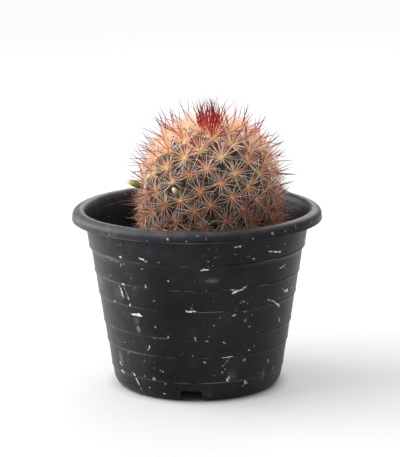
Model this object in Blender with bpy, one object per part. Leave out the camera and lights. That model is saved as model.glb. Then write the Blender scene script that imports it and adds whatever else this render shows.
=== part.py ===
"""A globe cactus in a round nursery pot, in metres, +Z up, origin at the middle of the pot's foot.

The front is at -Y. The pot stands on its foot ring at z = 0. The stem stands a little off the pot's axis.
"""

import math

import bmesh
import bpy
from mathutils import Matrix, Vector
from mathutils.bvhtree import BVHTree

GAP = 0.0003  # clearance between neighbouring solids

# pot
POT_HEIGHT = 0.0805
RIM_RADIUS = 0.056
RIM_DEPTH = 0.0049
MOUTH_RADIUS = 0.050
WALL_THICKNESS = 0.0010
WALL_FOOT_RADIUS = 0.0373  # the wall's outer face carried down to z = 0
WALL_TAPER = 0.1425
LEDGE_HEIGHTS = (0.0092, 0.0210, 0.0299, 0.0427, 0.0526, 0.0640)
LEDGE_STEP = 0.00025
SHOULDER_STEP = 0.00085  # the topmost ledge, which stops stacked pots from jamming
LEDGE_DROP = 0.0018
LEDGE_BEAD = 0.00012
FOOT_RING_RADII = (0.0327, 0.0334)
FOOT_CORNER = 0.006  # height of the rounded corner between the foot ring and the wall
FOOT_CORNER_STEPS = 5
RECESS_DEPTH = 0.0056
FLOOR_THICKNESS = 0.0010
NOTCH_COUNT = 4
NOTCH_TURN = math.radians(-4.5)
NOTCH_WIDTH_TOP = 0.0088
NOTCH_WIDTH_BOTTOM = 0.0112
DRAIN_COUNT = 6
DRAIN_RADIUS = 0.003
DRAIN_CIRCLE = 0.021
POT_SEGMENTS = 48

# soil
SOIL_LEVEL = 0.062
SOIL_CROWN = 0.0016  # how much the surface rises from the wall to the stem
SOIL_SEGMENTS = 32

# stem
STEM_X = 0.0059
STEM_Y = -0.006
STEM_RADIUS = 0.0298
STEM_WIDEST = 0.086
STEM_TOP = 0.1195
DOME_POWER = 2.0
LOWER_TAPER = 2.0  # radius lost below the widest level, per metre squared
STEM_BASE = 0.048
BASE_RADIUS = 0.011
TUBERCLE_DEPTH = 0.0028
AREOLE_AREA = 71e-6
PAIR_TURN = math.radians(68.754)
PAIR_PHASE = math.radians(20.0)
FIRST_AREOLE = 1.5
CROWN_PAIRS = 2  # the youngest pairs, whose spines stand in the crown tuft
LOWEST_AREOLE = 0.0668
ROW_STEP = 8  # pairs between neighbours in one spiral row

# spines
HUB_SIDES = 8
HUB_RADIUS = 0.00092
HUB_HEIGHT = 0.0006
RADIAL_LENGTH = 0.0054
RADIAL_RISE = 0.0009
CENTRAL_LENGTH = 0.0092
CENTRAL_SPREAD = math.radians(27.0)
SPINE_CLEARANCE = 0.0007
CROWN_RADIUS = 0.0050
CROWN_LENGTH = 0.0126

# what grows between the spines: turn about the stem, height, size
FRUIT_TURN, FRUIT_HEIGHT, FRUIT_LENGTH, FRUIT_RADIUS = math.radians(-84.0), 0.0895, 0.0096, 0.0016
BUD_TURN, BUD_HEIGHT, BUD_LENGTH, BUD_RADIUS = math.radians(-27.0), 0.0905, 0.0056, 0.0016
FLOWER_TURN, FLOWER_HEIGHT, FLOWER_LENGTH, FLOWER_RADIUS = math.radians(-58.0), 0.0975, 0.0036, 0.0008


def clear_scene():
    for obj in list(bpy.data.objects):
        bpy.data.objects.remove(obj, do_unlink=True)


def material(name, color, roughness):
    made = bpy.data.materials.new(name)
    made.use_nodes = True
    shader = made.node_tree.nodes["Principled BSDF"]
    shader.inputs["Base Color"].default_value = (*color, 1.0)
    shader.inputs["Roughness"].default_value = roughness
    shader.inputs["Metallic"].default_value = 0.0
    return made


def add_object(name, bm, finish=None, smooth_angle=math.radians(30.0)):
    mesh = bpy.data.meshes.new(name)
    bm.to_mesh(mesh)
    bm.free()
    obj = bpy.data.objects.new(name, mesh)
    bpy.context.scene.collection.objects.link(obj)
    if finish:
        mesh.materials.append(finish)
        mesh.shade_smooth()
        mesh.set_sharp_from_angle(angle=smooth_angle)
    return obj


def turned(profile, segments, center=(0.0, 0.0)):
    """A bmesh turned about the vertical line at center, from (radius, height) points."""
    bm = bmesh.new()
    verts = [bm.verts.new((radius, 0.0, height)) for radius, height in profile]
    edges = [bm.edges.new(pair) for pair in zip(verts, verts[1:])]
    if profile[0][0] > 0.0:
        edges.append(bm.edges.new((verts[-1], verts[0])))
    bmesh.ops.spin(
        bm,
        geom=verts + edges,
        cent=(0.0, 0.0, 0.0),
        axis=(0.0, 0.0, 1.0),
        angle=math.tau,
        steps=segments,
        use_merge=True,
    )
    bmesh.ops.remove_doubles(bm, verts=bm.verts, dist=1e-6)
    bmesh.ops.recalc_face_normals(bm, faces=bm.faces)
    bmesh.ops.translate(bm, verts=bm.verts, vec=(center[0], center[1], 0.0))
    return bm


def cut(obj, bm):
    """Cuts the shape in bm out of obj and applies the cut."""
    cutter = add_object(obj.name + "_cutter", bm)
    cutter.hide_render = True
    cutter.display_type = "WIRE"
    boolean = obj.modifiers.new("cut", "BOOLEAN")
    boolean.operation = "DIFFERENCE"
    boolean.solver = "EXACT"
    boolean.object = cutter


# ---------------------------------------------------------------- pot


def wall_radius(height):
    """The wall's outer face: a taper that steps out at each ledge, which has a small bead on its edge."""
    radius = WALL_FOOT_RADIUS + WALL_TAPER * height
    for ledge in LEDGE_HEIGHTS:
        step = SHOULDER_STEP if ledge == LEDGE_HEIGHTS[-1] else LEDGE_STEP
        radius += step * min(max((height - ledge + LEDGE_DROP) / LEDGE_DROP, 0.0), 1.0)
        if abs(height - ledge) < 1e-6:
            radius += LEDGE_BEAD
    return radius


def inner_radius(height):
    """The wall's inner face, smooth from the floor to the mouth."""
    rim_foot = POT_HEIGHT - RIM_DEPTH
    floor_radius = wall_radius(RECESS_DEPTH) - WALL_THICKNESS
    share = (height - RECESS_DEPTH) / (rim_foot - RECESS_DEPTH)
    return floor_radius + share * (wall_radius(rim_foot) - WALL_THICKNESS - floor_radius)


def pot_profile():
    """Round the shell from the middle of the underside, out, up, over the rim and down inside."""
    ring_in, ring_out = FOOT_RING_RADII
    floor_top = RECESS_DEPTH + FLOOR_THICKNESS
    skirt_inner = wall_radius(RECESS_DEPTH) - 2.0 * WALL_THICKNESS
    points = [(0.0, RECESS_DEPTH), (skirt_inner, RECESS_DEPTH), (ring_in, 0.0), (ring_out, 0.0)]
    for step in range(1, FOOT_CORNER_STEPS + 1):
        angle = 0.5 * math.pi * step / FOOT_CORNER_STEPS
        out = (wall_radius(FOOT_CORNER) - ring_out) * math.sin(angle)
        points.append((ring_out + out, FOOT_CORNER * (1.0 - math.cos(angle))))
    for ledge in LEDGE_HEIGHTS:
        points += [(wall_radius(z), z) for z in (ledge - LEDGE_DROP, ledge, ledge + 0.0006)]
    rim_foot = POT_HEIGHT - RIM_DEPTH
    points += [
        (wall_radius(rim_foot), rim_foot),
        (wall_radius(rim_foot) + 0.0006, POT_HEIGHT - 0.0022),
        (RIM_RADIUS - 0.0030, POT_HEIGHT - 0.0012),
        (RIM_RADIUS - 0.0014, POT_HEIGHT - 0.0022),
        (RIM_RADIUS - 0.0010, rim_foot),
        (RIM_RADIUS, rim_foot),
        (RIM_RADIUS - 0.0002, POT_HEIGHT - 0.0026),
        (RIM_RADIUS - 0.0010, POT_HEIGHT - 0.0009),
        (RIM_RADIUS - 0.0026, POT_HEIGHT - 0.0001),
        (RIM_RADIUS - 0.0040, POT_HEIGHT),
        (MOUTH_RADIUS + 0.0006, POT_HEIGHT - 0.0005),
        (MOUTH_RADIUS, POT_HEIGHT - 0.0014),
        (inner_radius(POT_HEIGHT - 0.0040), POT_HEIGHT - 0.0040),
        (inner_radius(floor_top + 0.0010), floor_top + 0.0010),
        (inner_radius(floor_top) - 0.0010, floor_top),
        (0.0, floor_top),
    ]
    return points


def notch_and_drain_cutter():
    """Four notches through the foot skirt and a ring of drain holes round a middle one, as one cutter."""
    bm = bmesh.new()
    inner, outer = 0.030, 0.043
    for index in range(NOTCH_COUNT):
        turn = Matrix.Rotation(NOTCH_TURN + index * math.tau / NOTCH_COUNT, 4, "Z")
        outline = [
            (-NOTCH_WIDTH_BOTTOM / 2, -0.001),
            (NOTCH_WIDTH_BOTTOM / 2, -0.001),
            (NOTCH_WIDTH_TOP / 2, RECESS_DEPTH - 0.0001),
            (-NOTCH_WIDTH_TOP / 2, RECESS_DEPTH - 0.0001),
        ]
        face = bm.faces.new([bm.verts.new(turn @ Vector((x, -inner, z))) for x, z in outline])
        pushed = bmesh.ops.extrude_face_region(bm, geom=[face])
        verts = [item for item in pushed["geom"] if isinstance(item, bmesh.types.BMVert)]
        bmesh.ops.translate(bm, verts=verts, vec=turn @ Vector((0.0, inner - outer, 0.0)))
    holes = [Vector((0.0, 0.0, 0.0))]
    for index in range(DRAIN_COUNT):
        angle = NOTCH_TURN + index * math.tau / DRAIN_COUNT
        holes.append(Vector((DRAIN_CIRCLE * math.cos(angle), DRAIN_CIRCLE * math.sin(angle), 0.0)))
    for hole in holes:
        place = Matrix.Translation(hole + Vector((0.0, 0.0, RECESS_DEPTH + FLOOR_THICKNESS / 2)))
        bmesh.ops.create_cone(
            bm,
            cap_ends=True,
            segments=12,
            radius1=DRAIN_RADIUS,
            radius2=DRAIN_RADIUS,
            depth=4.0 * FLOOR_THICKNESS,
            matrix=place,
        )
    bmesh.ops.recalc_face_normals(bm, faces=bm.faces)
    return bm


def make_pot():
    plastic = material("black_plastic", (0.022, 0.023, 0.026), 0.42)
    pot = add_object("pot", turned(pot_profile(), POT_SEGMENTS), plastic)
    cut(pot, notch_and_drain_cutter())
    return pot


# ---------------------------------------------------------------- stem


def dome_points(count=240):
    """The stem's outline through the areoles, apex first, as (radius, height) points."""
    points = []
    for index in range(count):
        angle = 0.5 * math.pi * index / (count - 1)
        power = 2.0 / DOME_POWER
        height = STEM_WIDEST + (STEM_TOP - STEM_WIDEST) * max(math.cos(angle), 0.0) ** power
        points.append((STEM_RADIUS * math.sin(angle) ** power, height))
    steps = 60
    for index in range(1, steps + 1):
        height = STEM_WIDEST - (STEM_WIDEST - 0.060) * index / steps
        points.append((STEM_RADIUS - LOWER_TAPER * (STEM_WIDEST - height) ** 2, height))
    return points


class Areole:
    """One tubercle's tip: where it is, which way it faces, and where it stands in the pattern."""

    def __init__(self, pair, half, point, normal):
        self.pair = pair
        self.half = half
        self.point = point
        self.normal = normal

    def row(self):
        """The spiral row: each step down a row is ROW_STEP pairs on, and changes halves."""
        return (self.pair % ROW_STEP, (self.half + self.pair // ROW_STEP) % 2)


def place_on_stem(turn, radius, height):
    return Vector((STEM_X + radius * math.sin(turn), STEM_Y - radius * math.cos(turn), height))


def areoles():
    """Pairs of areoles, each with the same area of stem, turning by PAIR_TURN from pair to pair."""
    outline = dome_points()
    found = []
    pair, passed = 0, 0.0
    for (radius_a, height_a), (radius_b, height_b) in zip(outline, outline[1:]):
        length = math.hypot(radius_b - radius_a, height_b - height_a)
        more = math.pi * (radius_a + radius_b) * length / AREOLE_AREA
        while passed + more >= 2 * pair + FIRST_AREOLE:
            share = (2 * pair + FIRST_AREOLE - passed) / more
            radius = radius_a + share * (radius_b - radius_a)
            height = height_a + share * (height_b - height_a)
            if height < LOWEST_AREOLE:
                return found
            for half in range(2):
                turn = PAIR_PHASE + pair * PAIR_TURN + half * math.pi
                out, up = (height_a - height_b) / length, (radius_b - radius_a) / length
                normal = Vector((out * math.sin(turn), -out * math.cos(turn), up))
                found.append(Areole(pair, half, place_on_stem(turn, radius, height), normal))
            pair += 1
        passed += more
    return found


def plain_rings():
    """Points of the stem that carry no tubercle: the flat crown, and the base in the soil."""
    points = []
    rings = (
        (10, 0.0052, STEM_TOP - 0.00075),
        (28, STEM_RADIUS - 0.0013, SOIL_LEVEL + 0.0016),
        (24, STEM_RADIUS - 0.0036, SOIL_LEVEL - 0.0030),
        (16, STEM_RADIUS - 0.0100, STEM_BASE + 0.0035),
        (10, BASE_RADIUS, STEM_BASE),
    )
    for count, radius, height in rings:
        points += [place_on_stem(math.tau * index / count, radius, height) for index in range(count)]
    return points


def make_stem(tips):
    """The hull of all tubercle tips, with every face between three tips sunk to make the furrows."""
    bm = bmesh.new()
    tip_verts = {bm.verts.new(tip.point) for tip in tips}
    for point in plain_rings():
        bm.verts.new(point)
    hull = bmesh.ops.convex_hull(bm, input=list(bm.verts))
    inside = [vert for vert in dict.fromkeys(hull["geom_interior"]) if vert.is_valid and not vert.link_faces]
    bmesh.ops.delete(bm, geom=inside, context="VERTS")
    bmesh.ops.recalc_face_normals(bm, faces=bm.faces)
    crowned = [face for face in bm.faces if sum(vert in tip_verts for vert in face.verts) >= 2]
    poked = bmesh.ops.poke(bm, faces=crowned, offset=-TUBERCLE_DEPTH)
    furrows = [vert.co.copy() for vert in poked["verts"]]
    bmesh.ops.recalc_face_normals(bm, faces=bm.faces)
    flesh = material("stem_flesh", (0.10, 0.14, 0.07), 0.55)
    return add_object("cactus_stem", bm, flesh, math.radians(60.0)), furrows


# ---------------------------------------------------------------- soil


def make_soil():
    """The potting mix: a plug that follows the pot's inside, with a socket for the stem."""
    mix = material("potting_mix", (0.055, 0.040, 0.030), 0.95)
    bottom = RECESS_DEPTH + FLOOR_THICKNESS + GAP
    flat = math.cos(math.pi / POT_SEGMENTS)

    def beside_wall(height):
        return (inner_radius(height) * flat - 2.0 * GAP, height)

    profile = [(0.0, bottom), (beside_wall(bottom + 0.002)[0] - 0.0012, bottom)]
    profile += [beside_wall(bottom + 0.002), beside_wall(0.034), beside_wall(SOIL_LEVEL)]
    profile += [(0.040, SOIL_LEVEL + 0.4 * SOIL_CROWN), (0.0, SOIL_LEVEL + SOIL_CROWN)]
    soil = add_object("potting_soil", turned(profile, SOIL_SEGMENTS), mix)
    socket = [
        (0.0, STEM_BASE - GAP),
        (BASE_RADIUS + GAP, STEM_BASE - GAP),
        (STEM_RADIUS - 0.0100 + 2.0 * GAP, STEM_BASE + 0.0035 - GAP),
        (STEM_RADIUS - 0.0036 + 2.0 * GAP, SOIL_LEVEL - 0.0030),
        (STEM_RADIUS - 0.0013 + 2.0 * GAP, SOIL_LEVEL + 0.0016),
        (STEM_RADIUS + 0.0006, SOIL_LEVEL + 0.0060),
        (0.0, SOIL_LEVEL + 0.0060),
    ]
    cut(soil, turned(socket, 40, (STEM_X, STEM_Y)))
    return soil


# ---------------------------------------------------------------- spines


class Thicket:
    """Every spine placed so far, as a line, so that the next one can stop short of them."""

    def __init__(self):
        self.lines = []

    def add(self, start, end, radius=0.0):
        self.lines.append((start, end, radius))

    def clear_length(self, start, direction, length, ignore):
        """The longest spine up to length that stays clear of the others, the pot and the soil."""
        shortest = 0.35 * length
        step = 0.1 * length
        while length > shortest and not self.is_clear(start, start + direction * length, ignore):
            length -= step
        return length

    def is_clear(self, start, end, ignore):
        if end.z < SOIL_LEVEL + SOIL_CROWN + 0.0008:
            return False
        if end.z < POT_HEIGHT + 0.001 and math.hypot(end.x, end.y) > inner_radius(end.z) - 0.0008:
            return False
        middle = 0.5 * (start + end)
        reach = 0.5 * (end - start).length + 0.006
        for index, (a, b, radius) in enumerate(self.lines):
            if index in ignore or (0.5 * (a + b) - middle).length > reach + 0.5 * (b - a).length:
                continue
            if line_distance(start, end, a, b) < SPINE_CLEARANCE + radius:
                return False
        return True


def line_distance(a, b, c, d):
    """The shortest distance between the lines a-b and c-d, both of finite length."""
    along, other, between = b - a, d - c, a - c
    aa, oo, ao = along.dot(along), other.dot(other), along.dot(other)
    ab, ob = along.dot(between), other.dot(between)
    spread = aa * oo - ao * ao
    s = min(max((ao * ob - oo * ab) / spread, 0.0), 1.0) if spread > 1e-18 else 0.0
    t = min(max((ao * s + ob) / oo, 0.0), 1.0)
    s = min(max((ao * t - ab) / aa, 0.0), 1.0)
    return (between + along * s - other * t).length


class Hub:
    """The woolly pad that one cluster's spines grow from, and the directions that its spines take."""

    def __init__(self, areole, toward, stem_tree):
        self.up = areole.normal
        hit, _, _, _ = stem_tree.ray_cast(areole.point + 0.003 * self.up, -self.up)
        self.base = (hit or areole.point) + 1.5 * GAP * self.up
        self.side = (toward - toward.dot(self.up) * self.up).normalized()
        self.across = self.up.cross(self.side)

    def matrix(self):
        place = self.base + 0.5 * HUB_HEIGHT * self.up
        turn = Matrix((self.side, self.across, self.up)).transposed().to_4x4()
        half_side = Matrix.Rotation(math.pi / HUB_SIDES, 4, "Z")
        return Matrix.Translation(place) @ turn @ half_side

    def build(self, bm):
        """Adds the pad to bm and returns its side faces in order round it, and its top."""
        made = bmesh.ops.create_cone(
            bm,
            cap_ends=True,
            segments=HUB_SIDES,
            radius1=HUB_RADIUS,
            radius2=0.8 * HUB_RADIUS,
            depth=HUB_HEIGHT,
            matrix=self.matrix(),
        )
        faces = {face for vert in made["verts"] for face in vert.link_faces}
        sides = [face for face in faces if len(face.verts) == 4]
        top = max((face for face in faces if len(face.verts) != 4), key=self.height_of)
        sides.sort(key=self.turn_of)
        return sides, top

    def height_of(self, face):
        return (face.calc_center_median() - self.base).dot(self.up)

    def turn_of(self, face):
        out = face.calc_center_median() - self.base
        turn = math.atan2(out.dot(self.across), out.dot(self.side))
        return (turn + 0.1) % math.tau


def spike(bm, face, tip):
    """Draws one face out to a point."""
    poked = bmesh.ops.poke(bm, faces=[face])
    poked["verts"][0].co = tip


def make_row(name, row, stem_tree, thicket, finish):
    """One spiral row of spine clusters. Neighbours are joined where their interlaced spines touch."""
    bm = bmesh.new()
    hubs = []
    for index, areole in enumerate(row):
        ahead = row[min(index + 1, len(row) - 1)].point
        behind = row[max(index - 1, 0)].point
        hubs.append(Hub(areole, ahead - behind, stem_tree))
    own = set()
    for hub, following in zip(hubs, hubs[1:]):
        own.add(len(thicket.lines))
        thicket.add(hub.base, following.base)
    built = [hub.build(bm) for hub in hubs]
    for index, (hub, (sides, top)) in enumerate(zip(hubs, built)):
        linked = set()
        if index + 1 < len(hubs):
            linked.add(0)
        if index > 0:
            linked.add(HUB_SIDES // 2)
        for number, face in enumerate(sides):
            if number in linked:
                continue
            start = face.calc_center_median()
            out = (start - hub.base).normalized()
            direction = (out * RADIAL_LENGTH + hub.up * RADIAL_RISE).normalized()
            length = thicket.clear_length(start, direction, RADIAL_LENGTH, own)
            spike(bm, face, start + direction * length)
            own.add(len(thicket.lines))
            thicket.add(start, start + direction * length)
        add_centrals(bm, hub, top, thicket, own)
    for (sides, _), (next_sides, _) in zip(built, built[1:]):
        join(bm, sides[0], next_sides[HUB_SIDES // 2])
    bmesh.ops.recalc_face_normals(bm, faces=bm.faces)
    return add_object(name, bm, finish, math.radians(40.0))


def add_centrals(bm, hub, top, thicket, own):
    """Four dark central spines, from every other sector of the pad's top."""
    poked = bmesh.ops.poke(bm, faces=[top])
    poked["verts"][0].co += 0.0002 * hub.up
    sectors = sorted(poked["faces"], key=hub.turn_of)
    for face in sectors[::2]:
        start = face.calc_center_median()
        out = (start - hub.base) - (start - hub.base).dot(hub.up) * hub.up
        lean = out.normalized() * math.sin(CENTRAL_SPREAD) + hub.up * math.cos(CENTRAL_SPREAD)
        length = thicket.clear_length(start, lean, CENTRAL_LENGTH, own)
        spike(bm, face, start + lean * length)
        own.add(len(thicket.lines))
        thicket.add(start, start + lean * length)


def join(bm, face, other):
    """Two spines that meet tip to tip between neighbouring pads, drawn thin in the middle."""
    loops = list(face.edges) + list(other.edges)
    bmesh.ops.delete(bm, geom=[face, other], context="FACES_ONLY")
    bridge = bmesh.ops.bridge_loops(bm, edges=loops)
    rungs = [edge for edge in bridge["edges"] if edge not in loops]
    halved = bmesh.ops.subdivide_edges(bm, edges=rungs, cuts=1)
    middle = [item for item in halved["geom_inner"] if isinstance(item, bmesh.types.BMVert)]
    center = sum((vert.co for vert in middle), Vector()) / len(middle)
    bmesh.ops.scale(bm, verts=middle, vec=(0.45, 0.45, 0.45), space=Matrix.Translation(-center))


def make_crown(stem_tree, thicket, finish):
    """The tuft at the growing point: a low pad with upright spines, longest in the middle."""
    apex = Vector((STEM_X, STEM_Y, STEM_TOP))
    hit, _, _, _ = stem_tree.ray_cast(apex + Vector((0.0, 0.0, 0.005)), Vector((0.0, 0.0, -1.0)))
    base = Vector((STEM_X, STEM_Y, hit.z + GAP))
    bm = bmesh.new()
    bmesh.ops.create_icosphere(bm, subdivisions=2, radius=CROWN_RADIUS)
    everything = list(bm.verts) + list(bm.edges) + list(bm.faces)
    bmesh.ops.bisect_plane(
        bm, geom=everything, plane_co=(0, 0, 0.001), plane_no=(0, 0, 1), clear_inner=True
    )
    bmesh.ops.holes_fill(bm, edges=[edge for edge in bm.edges if edge.is_boundary], sides=0)
    flatten = Matrix.Diagonal((1.0, 1.0, 0.35, 1.0))
    bmesh.ops.transform(bm, matrix=flatten, verts=bm.verts)
    lowest = min(vert.co.z for vert in bm.verts)
    bmesh.ops.translate(bm, verts=bm.verts, vec=base - Vector((0.0, 0.0, lowest)))
    bmesh.ops.recalc_face_normals(bm, faces=bm.faces)
    bm.faces.ensure_lookup_table()
    upward = [face for face in bm.faces if face.normal.z > 0.72]
    upward.sort(key=lambda face: math.atan2(*(face.calc_center_median() - base).xy))
    for face in upward:
        start = face.calc_center_median()
        offset = (start - base) / CROWN_RADIUS
        lean = Vector((0.42 * offset.x, 0.42 * offset.y, 1.0)).normalized()
        length = CROWN_LENGTH * (1.0 - 0.35 * offset.xy.length)
        spike(bm, face, start + lean * length)
        thicket.add(start, start + lean * length)
    bmesh.ops.recalc_face_normals(bm, faces=bm.faces)
    return add_object("crown_spines", bm, finish, math.radians(40.0))


def make_spines(tips, stem_tree, thicket):
    pale = material("spine_pale", (0.62, 0.46, 0.34), 0.5)
    crimson = material("spine_crimson", (0.25, 0.02, 0.02), 0.45)
    make_crown(stem_tree, thicket, crimson)
    rows = {}
    for tip in tips:
        rows.setdefault(tip.row(), []).append(tip)
    for number, key in enumerate(sorted(rows), start=1):
        row = [tip for tip in rows[key] if tip.pair >= CROWN_PAIRS]
        make_row(f"spine_row_{number:02d}", row, stem_tree, thicket, pale)


# ---------------------------------------------------------------- fruit, bud and dried flower


def make_bud(name, place, length, outline, tilt, stem_tree, thicket, finish):
    """A small turned body that grows out of one furrow of the stem, tilted up."""
    out = Vector((place.x - STEM_X, place.y - STEM_Y, 0.0)).normalized()
    axis = (out * math.cos(tilt) + Vector((0.0, 0.0, math.sin(tilt)))).normalized()
    bm = turned([(radius, share * length) for radius, share in outline], 12)
    turn_up = Vector((0.0, 0.0, 1.0)).rotation_difference(axis).to_matrix().to_4x4()
    bmesh.ops.transform(bm, matrix=Matrix.Translation(place - 0.001 * out) @ turn_up, verts=bm.verts)
    foot = place + (GAP - 0.001) * out
    while BVHTree.FromBMesh(bm).overlap(stem_tree):
        bmesh.ops.translate(bm, verts=bm.verts, vec=0.5 * GAP * out)
        foot += 0.5 * GAP * out
    bmesh.ops.translate(bm, verts=bm.verts, vec=GAP * out)
    thicket.add(foot, foot + length * axis, max(radius for radius, _ in outline))
    return add_object(name, bm, finish, math.radians(50.0))


def make_growths(furrows, stem_tree, thicket):
    green = material("fruit_green", (0.30, 0.32, 0.10), 0.4)
    cream = material("bud_cream", (0.55, 0.52, 0.36), 0.5)
    brown = material("flower_brown", (0.28, 0.19, 0.12), 0.8)
    club = [(0.0, 0.0), (0.45, 0.0), (0.75, 0.35), (1.0, 0.72), (0.8, 0.93), (0.0, 1.0)]
    egg = [(0.0, 0.0), (0.5, 0.0), (1.0, 0.4), (0.85, 0.75), (0.35, 0.97), (0.0, 1.0)]
    horn = [(0.0, 0.0), (0.9, 0.0), (1.0, 0.3), (0.55, 0.75), (0.0, 1.0)]
    growths = (
        ("green_fruit", FRUIT_TURN, FRUIT_HEIGHT, FRUIT_LENGTH, FRUIT_RADIUS, club, 0.42, green),
        ("pale_bud", BUD_TURN, BUD_HEIGHT, BUD_LENGTH, BUD_RADIUS, egg, 0.95, cream),
        ("dried_flower", FLOWER_TURN, FLOWER_HEIGHT, FLOWER_LENGTH, FLOWER_RADIUS, horn, 0.5, brown),
    )
    for name, turn, height, length, radius, shape, tilt, finish in growths:
        wanted = place_on_stem(turn, STEM_RADIUS - TUBERCLE_DEPTH, height)
        place = min(furrows, key=lambda point: (point - wanted).length)
        outline = [(radius * width, share) for width, share in shape]
        make_bud(name, place, length, outline, tilt, stem_tree, thicket, finish)


def main():
    clear_scene()
    make_pot()
    make_soil()
    tips = areoles()
    stem, furrows = make_stem(tips)
    stem_tree = BVHTree.FromPolygons(
        [vert.co for vert in stem.data.vertices],
        [tuple(face.vertices) for face in stem.data.polygons],
    )
    thicket = Thicket()
    make_growths(furrows, stem_tree, thicket)
    make_spines(tips, stem_tree, thicket)


main()
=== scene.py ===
import math
import random

import bmesh
import bpy
from mathutils import Matrix, Vector, noise
from mathutils.kdtree import KDTree


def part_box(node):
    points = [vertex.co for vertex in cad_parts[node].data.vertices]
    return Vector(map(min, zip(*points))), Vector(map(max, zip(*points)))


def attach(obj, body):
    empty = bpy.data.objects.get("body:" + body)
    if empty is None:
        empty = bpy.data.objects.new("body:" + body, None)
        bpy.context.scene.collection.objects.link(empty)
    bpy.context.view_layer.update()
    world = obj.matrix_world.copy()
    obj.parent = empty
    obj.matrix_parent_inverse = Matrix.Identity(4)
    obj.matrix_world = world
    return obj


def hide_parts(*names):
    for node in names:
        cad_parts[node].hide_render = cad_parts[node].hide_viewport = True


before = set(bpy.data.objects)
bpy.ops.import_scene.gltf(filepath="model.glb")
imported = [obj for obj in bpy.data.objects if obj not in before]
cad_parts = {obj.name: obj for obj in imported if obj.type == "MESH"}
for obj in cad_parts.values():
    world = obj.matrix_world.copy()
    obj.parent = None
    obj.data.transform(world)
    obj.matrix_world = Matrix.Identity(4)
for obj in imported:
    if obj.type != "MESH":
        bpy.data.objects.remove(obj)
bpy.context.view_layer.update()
mm = 0.001


# mesh helpers

def placeMesh(name, mesh, finish, sharpAngle=35.0):
    piece = bpy.data.objects.new(name, mesh)
    bpy.context.scene.collection.objects.link(piece)
    mesh.materials.clear()
    mesh.materials.append(finish)
    mesh.shade_smooth()
    mesh.set_sharp_from_angle(angle=math.radians(sharpAngle))
    return piece


def placeShape(name, bm, finish, sharpAngle=35.0):
    mesh = bpy.data.meshes.new(name)
    bm.to_mesh(mesh)
    bm.free()
    return placeMesh(name, mesh, finish, sharpAngle)


def spinShape(outline, steps):  # outline holds (radius, height) in millimetres
    bm = bmesh.new()
    points = [bm.verts.new((radius * mm, 0.0, height * mm)) for radius, height in outline]
    edges = [bm.edges.new(pair) for pair in zip(points, points[1:])]
    if outline[0][0] > 0.0:
        edges.append(bm.edges.new((points[-1], points[0])))
    bmesh.ops.spin(
        bm, geom=points + edges, cent=(0, 0, 0), axis=(0, 0, 1),
        angle=math.tau, steps=steps, use_merge=True,
    )
    bmesh.ops.remove_doubles(bm, verts=bm.verts, dist=1e-6)
    bmesh.ops.recalc_face_normals(bm, faces=bm.faces)
    return bm


def makeStamp(name, bm):  # a small mesh that is copied many times
    mesh = bpy.data.meshes.new(name)
    bm.to_mesh(mesh)
    bm.free()
    return mesh


def addStamp(bm, stamp, matrix, tone=None):
    copy = stamp.copy()
    copy.transform(matrix)
    if tone is not None:
        values = copy.attributes.get("tone") or copy.attributes.new("tone", "FLOAT", "POINT")
        values.data.foreach_set("value", [tone] * len(copy.vertices))
    bm.from_mesh(copy)
    bpy.data.meshes.remove(copy)


def aimMatrix(place, along, side, width, length, depth=None):
    # turns +Z to along and +X to side, and scales X and Y by width and Z by length
    zAxis = along.normalized()
    xAxis = side - side.dot(zAxis) * zAxis
    if xAxis.length < 1e-6:
        xAxis = zAxis.orthogonal()
    xAxis.normalize()
    yAxis = zAxis.cross(xAxis)
    columns = (xAxis * width, yAxis * (depth or width), zAxis * length)
    return Matrix.Translation(place) @ Matrix(columns).transposed().to_4x4()


# shader helpers

def connect(tree, node, inputs):
    for key, value in inputs.items():
        if isinstance(value, bpy.types.NodeSocket):
            tree.links.new(value, node.inputs[key])
        else:
            node.inputs[key].default_value = value
    return node


def put(tree, kind, inputs=None, **settings):
    node = tree.nodes.new("ShaderNode" + kind)
    for name, value in settings.items():
        setattr(node, name, value)
    return connect(tree, node, inputs or {})


def calc(tree, operation, first, second=0.0, clamp=False):
    return put(tree, "Math", {0: first, 1: second}, operation=operation, use_clamp=clamp).outputs[0]


def swing(tree, value, amount):  # turns a value round 0.5 into a shift either way
    return calc(tree, "MULTIPLY", calc(tree, "SUBTRACT", value, 0.5), amount)


def nearTo(tree, value, middle, reach):  # 1 within reach of the middle, 0 elsewhere
    return put(tree, "Math", {0: value, 1: middle, 2: reach}, operation="COMPARE").outputs[0]


def remap(tree, value, low, high, toLow=0.0, toHigh=1.0):
    inputs = {"Value": value, 1: low, 2: high, 3: toLow, 4: toHigh}
    return put(tree, "MapRange", inputs, clamp=True).outputs[0]


def blendColor(tree, share, first, second):
    first, second = [
        color if isinstance(color, bpy.types.NodeSocket) else (*color, 1.0) for color in (first, second)
    ]
    node = put(tree, "Mix", {0: share, 6: first, 7: second}, data_type="RGBA", blend_type="MIX")
    return node.outputs[2]


def ramp(tree, share, stops):
    node = put(tree, "ValToRGB", {"Fac": share})
    marks = node.color_ramp.elements
    marks[0].position, marks[0].color = stops[0][0], (*stops[0][1], 1.0)
    marks[1].position, marks[1].color = stops[-1][0], (*stops[-1][1], 1.0)
    for place, color in stops[1:-1]:
        mark = marks.new(place)
        mark.color = (*color, 1.0)
    return node.outputs["Color"]


def noiseAt(tree, place, scale, detail, roughness=0.5):
    inputs = {"Vector": place, "Scale": scale, "Detail": detail, "Roughness": roughness}
    return put(tree, "TexNoise", inputs).outputs["Fac"]


def attribute(tree, name):
    return put(tree, "Attribute", None, attribute_name=name, attribute_type="GEOMETRY").outputs["Fac"]


def objectPlace(tree):
    return put(tree, "TexCoord").outputs["Object"]


def heightOf(tree):
    return put(tree, "SeparateXYZ", {0: objectPlace(tree)}).outputs[2]


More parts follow.
